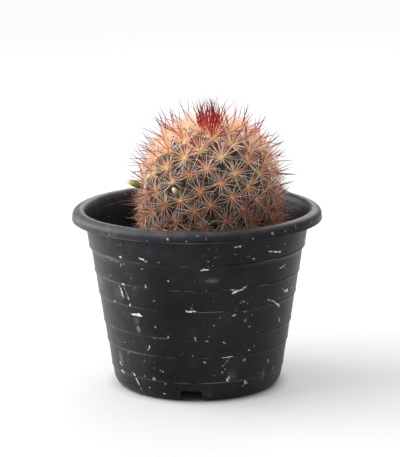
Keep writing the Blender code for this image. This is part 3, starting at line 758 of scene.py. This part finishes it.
def buildSoil():
    bottom, gap = soilSize["bottom"], soilSize["wallGap"]
    inner = innerRadius(bottom + 2.0)
    outline = [(0.0, bottom), (20.0, bottom), (inner - 1.6, bottom), (inner - gap, bottom + 2.0)]
    outline += [(innerRadius(height) - gap, height) for height in soilSize["wallRows"]]
    outline += [(radius, soilSize["level"]) for radius in soilSize["topRings"]]
    bm = spinShape(outline, soilSize["steps"])
    for vert in bm.verts:
        if vert.co.z > (soilSize["level"] - 0.1) * mm:
            vert.co.z = soilHeight(vert.co.x / mm, vert.co.y / mm) * mm
    soil = placeShape("pottingSoil", bm, makeSoil(), 60.0)
    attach(soil, "root")
    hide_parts("potting_soil")


def buildGrit():
    source = random.Random(23)
    stamps = []
    for index in range(4):
        shape = bmesh.new()
        bmesh.ops.create_icosphere(shape, subdivisions=1, radius=1.0)
        for vert in shape.verts:
            vert.co *= source.uniform(0.7, 1.15)
        stamps.append(makeStamp("grain", shape))
    bm = bmesh.new()
    near, far = soilSize["scatter"]
    for index in range(soilSize["grains"] + soilSize["crumbs"]):
        away = math.sqrt(source.uniform(near ** 2, far ** 2))
        turn = source.uniform(0.0, math.tau)
        x, y = away * math.sin(turn), -away * math.cos(turn)
        big = index < soilSize["grains"] * 0.35
        size = source.uniform(0.7, 1.5) if big else source.uniform(0.25, 0.7)
        if math.hypot(x, y) + size > soilSize["edge"]:
            continue
        place = Vector((x, y, soilHeight(x, y) + size * 0.25)) * mm
        up = Vector((source.uniform(-1, 1), source.uniform(-1, 1), source.uniform(0.2, 1)))
        side = Vector((source.uniform(-1, 1), source.uniform(-1, 1), 0.1))
        matrix = aimMatrix(place, up, side, size * mm, size * source.uniform(0.6, 1.0) * mm)
        addStamp(bm, source.choice(stamps), matrix, source.random() ** 1.6)
    grit = placeShape("soilGrit", bm, makeGrit(), 50.0)
    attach(grit, "root")


buildSoil()
buildGrit()
print("potting mix ready")


# plant: where each areole stands

plantSize = {
    "x": 5.9, "y": -6.0, "radius": 29.8, "widest": 86.0, "top": 119.5, "lowerTaper": 0.002, "domeRows": 240,
    "lowerRows": 80, "lowerStep": 0.375, "lowest": 66.4, "buried": 50.0, "bareBelow": 64.0,
    "areoleArea": 71.0, "pairTurn": 68.754, "pairPhase": 20.0, "firstAreole": 1.5,
    "tubercle": 3.4, "tubercleReach": 4.9, "tuberclePower": 1.35, "skinGap": 0.15, "axisAim": (70.0, 96.0),
}


def lowerRadius(height):
    return plantSize["radius"] - plantSize["lowerTaper"] * (plantSize["widest"] - height) ** 2


def domeOutline():
    points = []
    rise = plantSize["top"] - plantSize["widest"]
    for index in range(plantSize["domeRows"]):
        angle = 0.5 * math.pi * index / (plantSize["domeRows"] - 1)
        height = plantSize["widest"] + rise * max(math.cos(angle), 0.0)
        points.append((plantSize["radius"] * math.sin(angle), height))
    for index in range(1, plantSize["lowerRows"] + 1):
        height = plantSize["widest"] - plantSize["lowerStep"] * index
        points.append((lowerRadius(height), height))
    return points


def onPlant(turn, radius, height):
    x = plantSize["x"] + radius * math.sin(turn)
    y = plantSize["y"] - radius * math.cos(turn)
    return Vector((x, y, height)) * mm


def findAreoles():  # pairs of areoles, each with the same share of the surface
    outline = domeOutline()
    found = []
    pair, passed = 0, 0.0
    for (nearR, nearZ), (farR, farZ) in zip(outline, outline[1:]):
        length = math.hypot(farR - nearR, farZ - nearZ)
        more = math.pi * (nearR + farR) * length / plantSize["areoleArea"]
        out, up = (nearZ - farZ) / length, (farR - nearR) / length
        while passed + more >= 2 * pair + plantSize["firstAreole"]:
            share = (2 * pair + plantSize["firstAreole"] - passed) / more
            radius, height = nearR + share * (farR - nearR), nearZ + share * (farZ - nearZ)
            if height < plantSize["lowest"]:
                return found
            for half in range(2):
                turn = math.radians(plantSize["pairPhase"] + pair * plantSize["pairTurn"] + half * 180.0)
                found.append({
                    "place": onPlant(turn, radius, height), "height": height,
                    "normal": Vector((out * math.sin(turn), -out * math.cos(turn), up)),
                    "down": Vector((up * math.sin(turn), -up * math.cos(turn), -out)),
                })
            pair += 1
        passed += more
    return found


areoles = findAreoles()
tips = KDTree(len(areoles))
for index, areole in enumerate(areoles):
    tips.insert(areole["place"], index)
tips.balance()
print("areoles", len(areoles))


def furrowShare(place):  # 0 at an areole, 1 in the furrows between them
    away = tips.find(place)[2] / mm
    return min(away / plantSize["tubercleReach"], 1.0) ** plantSize["tuberclePower"]


# stem

fleshLook = {
    "stops": (
        (0.1, (0.012, 0.008, 0.006)), (0.45, (0.030, 0.027, 0.016)),
        (0.75, (0.058, 0.058, 0.034)), (1.0, (0.095, 0.088, 0.050)),
    ),
    "mauve": (0.062, 0.030, 0.032),
    "lowBrown": ((0.086, 0.070), 0.6, (0.060, 0.034, 0.022)),  # heights, strength, color
    "topOrange": ((0.106, 0.118), 0.85, (0.32, 0.11, 0.06)),
}


def makeFlesh():
    finish, tree, shader = newFinish("stemFlesh", 0.5, 0.4)
    place, height = objectPlace(tree), heightOf(tree)
    patches = noiseAt(tree, place, 110.0, 4.0, 0.6)
    # painted shade: the furrows between the tubercles are darker and the tubercle tips lighter, on top of the
    # flesh's own patchy tone
    lift = calc(tree, "MULTIPLY", attribute(tree, "lift"), 0.75)
    share = calc(tree, "ADD", lift, calc(tree, "MULTIPLY", patches, 0.35), clamp=True)
    color = ramp(tree, share, fleshLook["stops"])
    mauve = calc(tree, "MULTIPLY", remap(tree, patches, 0.46, 0.64), 0.6)
    color = blendColor(tree, mauve, color, fleshLook["mauve"])
    for name in ("lowBrown", "topOrange"):
        ends, strength, tint = fleshLook[name]
        color = blendColor(tree, remap(tree, height, *ends, 0.0, strength), color, tint)
    setBase(tree, shader, color)
    giveBump(tree, shader, grainAt(tree, place, 1400.0), 0.4, 0.0002)
    return finish


def buildStem():
    bm = bmesh.new()
    lift = bm.verts.layers.float.new("lift")
    bmesh.ops.create_icosphere(bm, subdivisions=7, radius=1.0)
    widest = plantSize["widest"]
    low, high = plantSize["axisAim"]
    for vert in bm.verts:
        tall = vert.co.z
        if tall >= 0.0:
            height = widest + (plantSize["top"] - widest) * tall
            radius = plantSize["radius"] * math.hypot(vert.co.x, vert.co.y)
        else:
            height = widest + (widest - plantSize["buried"]) * tall
            radius = lowerRadius(height) * (1.0 - max(-tall, 0.0) ** 8) ** 0.5
        surface = onPlant(math.atan2(vert.co.x, -vert.co.y), radius, height)
        outward = (surface - onPlant(0.0, 0.0, min(max(height, low), high))).normalized()
        sunk = 1.0 if height < plantSize["bareBelow"] else furrowShare(surface)
        vert.co = surface - outward * (plantSize["tubercle"] * sunk + plantSize["skinGap"]) * mm
        vert[lift] = 1.0 - sunk
    bmesh.ops.recalc_face_normals(bm, faces=bm.faces)
    stem = placeShape("cactusBody", bm, makeFlesh(), 80.0)
    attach(stem, "root")
    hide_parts("cactus_stem")


buildStem()
print("stem ready")


# fruit, bud and dried flower

growths = {
    "greenFruit": {
        "node": "green_fruit", "slot": "fruit_green", "tilt": 24.0, "length": 9.6, "radius": 1.5,
        "lean": (0.0, 0.0, 0.0), "shift": (0.0, 0.0, 0.0), "flare": 0.0,
        "outline": (
            (0.0, 0.0), (0.42, 0.02), (0.58, 0.15), (0.78, 0.35), (0.97, 0.6), (1.0, 0.75),
            (0.86, 0.9), (0.5, 0.98), (0.28, 0.965), (0.0, 0.95),
        ),
        "stops": (
            (0.0, (0.20, 0.21, 0.10)), (0.45, (0.15, 0.16, 0.05)), (0.68, (0.26, 0.24, 0.07)),
            (0.84, (0.50, 0.43, 0.15)), (1.0, (0.62, 0.52, 0.24)),
        ),
    },
    "paleBud": {
        "node": "pale_bud", "slot": "bud_cream", "tilt": 54.0, "length": 5.6, "radius": 1.35,
        "lean": (-0.42, 0.0, 0.25), "shift": (1.8, 0.2, 0.2), "flare": 0.0,
        "outline": (
            (0.0, 0.0), (0.5, 0.02), (0.85, 0.2), (1.0, 0.42), (0.92, 0.64), (0.66, 0.84),
            (0.34, 0.96), (0.0, 1.0),
        ),
        "stops": (
            (0.0, (0.10, 0.12, 0.05)), (0.5, (0.20, 0.22, 0.10)), (0.64, (0.34, 0.33, 0.18)),
            (0.78, (0.74, 0.65, 0.44)), (1.0, (0.88, 0.80, 0.62)),
        ),
    },
    "driedFlower": {
        "node": "dried_flower", "slot": "flower_brown", "tilt": 29.0, "length": 4.2, "radius": 0.95,
        "lean": (0.0, 0.0, 0.0), "shift": (-1.0, -2.0, 0.6), "flare": 0.22,
        "outline": (
            (0.0, 0.0), (0.9, 0.03), (1.0, 0.3), (0.75, 0.6), (0.42, 0.85), (0.18, 0.97), (0.0, 1.0),
        ),
        "stops": (
            (0.0, (0.12, 0.07, 0.04)), (0.4, (0.24, 0.15, 0.09)), (0.7, (0.52, 0.40, 0.24)),
            (1.0, (0.82, 0.72, 0.52)),
        ),
    },
}


def makeGrowthFinish(name, stops):
    finish, tree, shader = newFinish(name, 0.42, 0.45)
    place = objectPlace(tree)
    patches = noiseAt(tree, place, 900.0, 3.0)
    share = calc(tree, "ADD", attribute(tree, "along"), swing(tree, patches, 0.35), clamp=True)
    setBase(tree, shader, ramp(tree, share, stops))
    giveBump(tree, shader, grainAt(tree, place, 2200.0), 0.5, 0.0002)
    return finish


growthLines = []  # what the spines in front have to leave free: foot, tip, radius


def buildGrowths():
    source = random.Random(5)
    upward = Vector((0.0, 0.0, 1.0))
    for name, growth in growths.items():
        low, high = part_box(growth["node"])
        middle = 0.5 * (low + high)
        out = Vector((middle.x - plantSize["x"] * mm, middle.y - plantSize["y"] * mm, 0.0)).normalized()
        tilt = math.radians(growth["tilt"])
        axis = (out * math.cos(tilt) + upward * math.sin(tilt) + Vector(growth["lean"])).normalized()
        outline = [(across * growth["radius"], up * growth["length"]) for across, up in growth["outline"]]
        shape = spinShape(outline, 24)
        along = shape.verts.layers.float.new("along")
        phase = source.uniform(0.0, math.tau)
        for vert in shape.verts:
            vert[along] = vert.co.z / mm / growth["length"]
            turn = math.atan2(vert.co.y, vert.co.x)
            ribs = 1.0 + 0.05 * math.cos(6.0 * turn + phase)
            ribs += growth["flare"] * math.cos(3.0 * turn + phase) * vert[along]
            vert.co.x *= ribs
            vert.co.y *= ribs
        foot = middle - axis * 0.5 * growth["length"] * mm + Vector(growth["shift"]) * mm
        tip = foot + axis * growth["length"] * mm
        growthLines.append((foot.lerp(tip, 0.55), tip, growth["radius"]))
        bmesh.ops.transform(shape, matrix=aimMatrix(foot, axis, upward, 1.0, 1.0), verts=shape.verts)
        piece = placeShape(name, shape, makeGrowthFinish(name + "Skin", growth["stops"]), 60.0)
        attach(piece, "root")
        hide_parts(growth["node"])


buildGrowths()
print("growths ready")


# spines and wool

spineSize = {
    "radials": {
        "count": 20, "newCount": 2, "length": (5.2, 10.4), "newLength": 0.0, "radius": 0.135,
        "rise": (2.0, 26.0), "youngRise": 8.0, "start": 0.6,
    },
    "halo": {  # finer spines that stand up between the radials and the centrals
        "count": 14, "newCount": 20, "length": (3.4, 6.8), "newLength": 2.4, "radius": 0.125,
        "rise": (24.0, 64.0), "youngRise": 6.0, "start": 0.5,
    },
    "centrals": {
        "count": 4, "length": (7.8, 11.0), "newLength": 4.6, "radius": 0.215, "spread": (8.0, 68.0),
        "newSpread": 8.0, "upward": 0.10,
    },
    "tuft": {
        "count": 62, "length": (11.5, 17.4), "looseLength": (15.0, 18.4), "outerShare": 0.30, "radius": 0.225,
        "circle": 5.0, "forward": 5.6, "opening": 16.0, "lean": 36.0, "scatter": 11.0, "sunk": 0.9,
        "clearedAbove": 117.2, "clearing": 9.0, "clearingHeight": 113.4,
    },
    "crown": {  # small new areoles round the growing point
        "areoles": 24, "circle": 10.5, "wool": 0.62, "clearance": 2.0,
        "count": 7, "newCount": 0, "length": (1.8, 3.4), "newLength": 0.0, "radius": 0.115,
        "rise": (6.0, 44.0), "youngRise": 0.0, "start": 0.35,
    },
    "bends": {
        "slim": (-4.5, -2.0, 0.0, 2.0, 5.0), "stout": (-6.0, -2.5, 0.0, 2.5, 6.0),
        "bowed": (-22.0, -17.0, -12.0, -7.0, -4.0, -1.0),
    },
    "young": (84.0, 30.0), "new": (95.0, 17.0),  # the height where it starts, and over how much it rises
    "placeJitter": 0.85, "tiltJitter": 12.0, "shortest": 1.5, "trim": 0.88,
    "soilGap": 0.8, "wallGap": 0.5, "growthGap": 0.15,
    "woolWidth": 1.0, "youngWool": 0.45, "woolHeight": 0.8,
}
goldenTurn = math.radians(137.508)


def makeNeedle(sides, bend):
    shape = bmesh.new()
    along = shape.verts.layers.float.new("along")
    shape.verts.layers.float.new("tone")
    made = bmesh.ops.create_circle(shape, cap_ends=True, segments=sides, radius=1.0)
    ring = list({edge for vert in made["verts"] for edge in vert.link_edges})
    reached, width = 0.0, 1.0
    for share, taper in ((0.3, 0.90), (0.68, 0.66), (1.0, 0.10)):
        grown = bmesh.ops.extrude_edge_only(shape, edges=ring)["geom"]
        ring = [item for item in grown if isinstance(item, bmesh.types.BMEdge)]
        verts = [item for item in grown if isinstance(item, bmesh.types.BMVert)]
        middle = Matrix.Translation((-bend * reached ** 2, 0, 0))
        bmesh.ops.scale(shape, verts=verts, vec=(taper / width, taper / width, 1.0), space=middle)
        step = (bend * (share ** 2 - reached ** 2), 0.0, share - reached)
        bmesh.ops.translate(shape, verts=verts, vec=step)
        for vert in verts:
            vert[along] = share
        reached, width = share, taper
    bmesh.ops.pointmerge(shape, verts=verts, merge_co=(bend, 0.0, 1.0))
    bmesh.ops.recalc_face_normals(shape, faces=shape.faces)
    return makeStamp("needle", shape)


def fitLength(start, direction, length):  # spines stop at the potting mix and at the wall
    lowest = soilSize["level"] + soilSize["crown"] + spineSize["soilGap"]
    while length > spineSize["shortest"]:
        tip = (start / mm) + direction * length
        reach = innerRadius(min(tip.z, 79.0)) - spineSize["wallGap"]
        outside = tip.z < potSize["height"] + 1.0 and math.hypot(tip.x, tip.y) > reach
        if tip.z >= lowest and not outside:
            return length
        length *= spineSize["trim"]
    return length


def hidesGrowth(start, direction, length):  # growths have pushed the spines in front aside
    for foot, tip, radius in growthLines:
        for share in (0.25, 0.4, 0.55, 0.7, 0.85, 1.0):
            point = start + direction * (length * share * mm)
            along = (point - foot).dot(tip - foot) / (tip - foot).length_squared
            near = foot.lerp(tip, min(max(along, 0.0), 1.0))
            away = math.hypot(point.x - near.x, point.z - near.z) / mm
            if point.y < near.y + radius * mm and away < radius + spineSize["growthGap"]:
                return True
    return False


def hidesTuft(start, direction, length):  # older spines part round the growing point
    tuft = spineSize["tuft"]
    tip = start / mm + direction * length
    away = math.hypot(tip.x - plantSize["x"], tip.y - plantSize["y"] + tuft["forward"])
    return away < tuft["clearing"] and tip.z > tuft["clearingHeight"]


def lean(normal, down, polar, around):
    flat = down * math.cos(around) + normal.cross(down) * math.sin(around)
    return (normal * math.cos(polar) + flat * math.sin(polar)).normalized()


def flatLean(normal, down, around):
    return lean(normal, down, math.pi / 2.0, around)


spineLooks = {  # stages change with height, streaks with each spine's own tone
    "paleSpine": {
        "roughness": 0.45, "specular": 0.4, "glow": (0.6, (1.0, 0.7, 0.5), 0.0004), "uneven": 0.0,
        "stages": (
            (None, (
                (0.0, (0.42, 0.13, 0.05)), (0.10, (0.45, 0.22, 0.11)), (0.24, (0.50, 0.36, 0.26)),
                (0.75, (0.46, 0.31, 0.23)), (1.0, (0.32, 0.18, 0.15)),
            )),
            ((0.086, 0.112), (
                (0.0, (0.94, 0.72, 0.40)), (0.08, (0.93, 0.78, 0.52)), (0.2, (0.90, 0.81, 0.66)),
                (0.75, (0.86, 0.72, 0.58)), (1.0, (0.62, 0.40, 0.33)),
            )),
        ),
        "streaks": (
            ((0.62, 1.0, 0.0, 0.75), (0.40, 0.18, 0.13)), ((0.26, 0.0, 0.0, 0.6), (0.84, 0.78, 0.66)),
        ),
    },
    "peachSpinePaintedGlow": {
        "roughness": 0.42, "specular": 0.4, "glow": (0.9, (1.0, 0.5, 0.3), 0.0006), "uneven": 0.5,
        "stages": (
            (None, (
                (0.0, (0.38, 0.14, 0.06)), (0.35, (0.42, 0.25, 0.17)), (0.75, (0.42, 0.24, 0.18)),
                (1.0, (0.30, 0.13, 0.11)),
            )),
            # the upper stage is the spines' pinkish cream brightened to a saturated peach: painted glow of
            # light through backlit spines
            ((0.086, 0.112), (
                (0.0, (0.97, 0.64, 0.32)), (0.35, (0.97, 0.55, 0.38)), (0.75, (0.93, 0.42, 0.36)),
                (1.0, (0.74, 0.21, 0.20)),
            )),
        ),
        "streaks": (),
    },
    "darkSpine": {
        "roughness": 0.42, "specular": 0.35, "glow": None, "uneven": 0.3,
        "stages": (
            (None, (
                (0.0, (0.46, 0.17, 0.06)), (0.14, (0.34, 0.11, 0.05)), (0.45, (0.22, 0.065, 0.045)),
                (0.8, (0.12, 0.028, 0.028)), (1.0, (0.06, 0.014, 0.018)),
            )),
            ((0.080, 0.102), (
                (0.0, (0.88, 0.64, 0.32)), (0.10, (0.74, 0.38, 0.15)), (0.26, (0.40, 0.09, 0.045)),
                (0.7, (0.15, 0.014, 0.018)), (1.0, (0.055, 0.006, 0.012)),
            )),
            ((0.111, 0.117), (
                (0.0, (0.62, 0.16, 0.05)), (0.2, (0.42, 0.035, 0.02)), (0.6, (0.22, 0.010, 0.014)),
                (1.0, (0.07, 0.006, 0.013)),
            )),
        ),
        "streaks": (),
    },
    "newSpine": {
        "roughness": 0.45, "specular": 0.25, "glow": None, "uneven": 0.25,
        "stages": (
            (None, (
                (0.0, (0.80, 0.24, 0.08)), (0.14, (0.58, 0.060, 0.024)), (0.4, (0.40, 0.012, 0.012)),
                (0.75, (0.20, 0.006, 0.010)), (1.0, (0.08, 0.005, 0.010)),
            )),
        ),
        "streaks": (),
    },
}


def makeSpineFinish(name):
    look = spineLooks[name]
    finish, tree, shader = newFinish(name, look["roughness"], look["specular"])
    if look["glow"]:
        letGlow(shader, *look["glow"])
    tone, height = attribute(tree, "tone"), heightOf(tree)
    share = calc(tree, "ADD", attribute(tree, "along"), swing(tree, tone, look["uneven"]), clamp=True)
    for ends, stops in look["stages"]:
        stage = ramp(tree, share, stops)
        color = blendColor(tree, remap(tree, height, *ends), color, stage) if ends else stage
    for ends, tint in look["streaks"]:
        color = blendColor(tree, remap(tree, tone, *ends), color, tint)
    setBase(tree, shader, color)
    return finish


def makeWool():
    finish, tree, shader = newFinish("areoleWool", 0.9, 0.1)
    tone = calc(tree, "MULTIPLY", attribute(tree, "tone"), 0.25)
    share = calc(tree, "ADD", remap(tree, heightOf(tree), 0.079, 0.103, 0.0, 0.75), tone, clamp=True)
    stops = (
        (0.0, (0.42, 0.12, 0.045)), (0.35, (0.64, 0.27, 0.11)), (0.6, (0.90, 0.64, 0.32)),
        (1.0, (0.96, 0.82, 0.54)),
    )
    setBase(tree, shader, ramp(tree, share, stops))
    giveBump(tree, shader, grainAt(tree, objectPlace(tree), 3000.0, 0.7), 0.8, 0.0003)
    return finish


def newSpineMesh():
    bm = bmesh.new()
    bm.verts.layers.float.new("along")
    bm.verts.layers.float.new("tone")
    return bm


def looseAreole(areole, source):  # real clusters stand a little off their lattice points
    normal, down = areole["normal"], areole["down"]
    jitter = spineSize["placeJitter"]
    shift = down * source.uniform(-jitter, jitter) + normal.cross(down) * source.uniform(-jitter, jitter)
    tilt = math.radians(spineSize["tiltJitter"] * source.random())
    normal = lean(normal, down, tilt, source.uniform(0.0, math.tau))
    return areole["place"] + shift * mm, normal, (down - normal * down.dot(normal)).normalized()


def addRing(bm, kind, stamps, spot, young, new, source):
    place, normal, down = spot
    sizes = spineSize[kind]
    count = sizes["count"] + round(sizes["newCount"] * new) + source.randint(-2, 2)
    begin = source.uniform(0.0, math.tau)
    for index in range(count):
        around = begin + math.tau * (index + source.uniform(-0.45, 0.45)) / count
        rise = math.radians(source.uniform(*sizes["rise"]) + sizes["youngRise"] * young)
        along = lean(normal, down, math.pi / 2.0 - rise, around)
        start = place + (flatLean(normal, down, around) * sizes["start"] + normal * 0.25) * mm
        length = source.uniform(*sizes["length"]) + sizes["newLength"] * new
        length = fitLength(start, along, length)
        radius = sizes["radius"] * source.uniform(0.62, 1.25) * mm
        parted = kind != "crown" and hidesTuft(start, along, length)
        if parted or hidesGrowth(start, along, length):
            continue
        twist = -normal + flatLean(normal, down, source.uniform(0.0, math.tau)) * 0.8
        curve = source.choice(stamps)
        addStamp(bm, curve, aimMatrix(start, along, twist, radius, length * mm), source.random())


def addCentrals(bm, stamps, spot, young, new, source):
    place, normal, down = spot
    sizes = spineSize["centrals"]
    count = sizes["count"] + source.randint(-1, 1) + round(new)
    begin = source.uniform(0.0, math.tau)
    for index in range(count):
        around = begin + math.tau * (index + source.uniform(-0.3, 0.3)) / count
        polar = math.radians(source.uniform(*sizes["spread"]) + sizes["newSpread"] * new)
        if index == 0:
            polar *= 0.4
        along = lean(normal, down, polar, around)
        along = (along + Vector((0.0, 0.0, sizes["upward"] * young))).normalized()
        length = source.uniform(*sizes["length"]) + sizes["newLength"] * 0.5 * (young + new)
        start = place + normal * 0.35 * mm + (along - normal * along.dot(normal)) * 0.5 * mm
        length = fitLength(start, along, length)
        radius = sizes["radius"] * source.uniform(0.85, 1.15) * mm
        side = Vector([source.uniform(-1, 1) for _ in range(3)])
        if hidesGrowth(start, along, length) or hidesTuft(start, along, length):
            continue
        curve = source.choice(stamps)
        addStamp(bm, curve, aimMatrix(start, along, side, radius, length * mm), source.random())


def addWool(bm, pad, spot, young, source):
    place, normal, down = spot
    width = (spineSize["woolWidth"] + spineSize["youngWool"] * young) * mm
    height = spineSize["woolHeight"] * (1.0 + 0.4 * young) * mm
    matrix = aimMatrix(place + normal * 0.05 * mm, normal, down, width, height, width * 0.85)
    addStamp(bm, pad, matrix, source.random())


def crownFoot(turn, far):  # a point over the crown, which is shifted towards the front
    foot = onPlant(turn, far, plantSize["top"])
    foot.y -= spineSize["tuft"]["forward"] * mm
    flat = Vector((foot.x / mm - plantSize["x"], foot.y / mm - plantSize["y"], 0.0)) / plantSize["radius"]
    return foot, flat


def addTuft(bm, stamps, source):  # the newest spines open over the growing point and bow back in
    sizes = spineSize["tuft"]
    scatter = sizes["scatter"]
    rise = plantSize["top"] - plantSize["widest"]
    for index in range(sizes["count"]):
        loose = index % 5 == 3
        far = math.sqrt((index + 0.5) / sizes["count"])
        turn = index * goldenTurn
        out = Vector((math.sin(turn), -math.cos(turn), 0.0))
        across = Vector((-out.y, out.x, 0.0))
        polar = (sizes["lean"] if loose else sizes["opening"]) * far
        polar = math.radians(polar + source.uniform(-scatter, scatter))
        sway = math.radians(source.uniform(-scatter, scatter) * 1.4)
        along = out * math.sin(polar) + across * math.sin(sway)
        along = (along + Vector((0, 0, math.cos(polar)))).normalized()
        foot, flat = crownFoot(turn, sizes["circle"] * far)
        foot.z -= (sizes["sunk"] + 0.5 * rise * flat.length_squared) * mm
        length = source.uniform(*sizes["looseLength" if loose else "length"])
        length *= 1.0 - sizes["outerShare"] * far
        radius = sizes["radius"] * source.uniform(0.8, 1.15) * mm
        side = out + across * source.uniform(-0.6, 0.6)
        curve = source.choice(stamps[3:] if loose else stamps[:4])
        addStamp(bm, curve, aimMatrix(foot, along, side, radius, length * mm), source.random())


def addCrown(wool, spines, pad, stamps, source):
    sizes = spineSize["crown"]
    for index in range(sizes["areoles"]):
        far = sizes["circle"] * math.sqrt((index + 0.5) / sizes["areoles"])
        turn = goldenTurn * index + 0.4
        foot, flat = crownFoot(turn, far)
        foot.z -= (plantSize["top"] - plantSize["widest"]) * (1.0 - math.sqrt(1.0 - flat.length_squared)) * mm
        if tips.find(foot)[2] < sizes["clearance"] * mm:
            continue
        foot.z -= plantSize["tubercle"] * furrowShare(foot) * mm
        normal = (flat + Vector((0, 0, 1))).normalized()
        down = normal.cross(Vector((math.cos(turn), math.sin(turn), 0.3))).normalized()
        size = sizes["wool"] * source.uniform(0.8, 1.2) * mm
        addStamp(wool, pad, aimMatrix(foot, normal, down, size, size * 0.9), source.random())
        addRing(spines, "crown", stamps, (foot, normal, down), 0.0, 0.0, source)


def shareOver(height, name):  # 0 below the named height, 1 above its rise
    start, rise = spineSize[name]
    return min(max((height - start) / rise, 0.0), 1.0)


def buildSpines():
    source = random.Random(7)
    slim, stout, bowed = (
        [makeNeedle(sides, bend) for bend in spineSize["bends"][name]]
        for name, sides in (("slim", 4), ("stout", 5), ("bowed", 5))
    )
    pad = bmesh.new()
    bmesh.ops.create_icosphere(pad, subdivisions=2, radius=1.0)
    pad = makeStamp("pad", pad)
    radials, halo, centrals, wool, tuft = (newSpineMesh() for _ in range(5))
    for areole in areoles:
        spot = looseAreole(areole, source)
        young, new = shareOver(areole["height"], "young"), shareOver(areole["height"], "new")
        addWool(wool, pad, spot, young, source)
        addRing(radials, "radials", slim, spot, young, new, source)
        crowded = areole["height"] > spineSize["tuft"]["clearedAbove"]
        addRing(halo, "halo", slim, spot, young, 0.0 if crowded else new, source)
        if not crowded:
            addCentrals(centrals, stout, spot, young, new, source)
    addTuft(tuft, bowed, source)
    addCrown(wool, halo, pad, slim, source)
    pieces = (
        ("radialSpines", radials, makeSpineFinish("paleSpine"), "spine_pale"),
        ("haloSpines", halo, makeSpineFinish("peachSpinePaintedGlow"), "spine_pale"),
        ("centralSpines", centrals, makeSpineFinish("darkSpine"), "spine_pale"),
        ("areoleWool", wool, makeWool(), "spine_pale"),
        ("crownSpines", tuft, makeSpineFinish("newSpine"), "spine_crimson"),
    )
    placed = {}
    for name, bm, finish, slot in pieces:
        placed[name] = placeShape(name, bm, finish, 60.0)
        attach(placed[name], "root")
        print(name, "faces", len(placed[name].data.polygons))
    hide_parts(*[f"spine_row_{number:02d}" for number in range(1, 17)])
    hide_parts("crown_spines")


buildSpines()
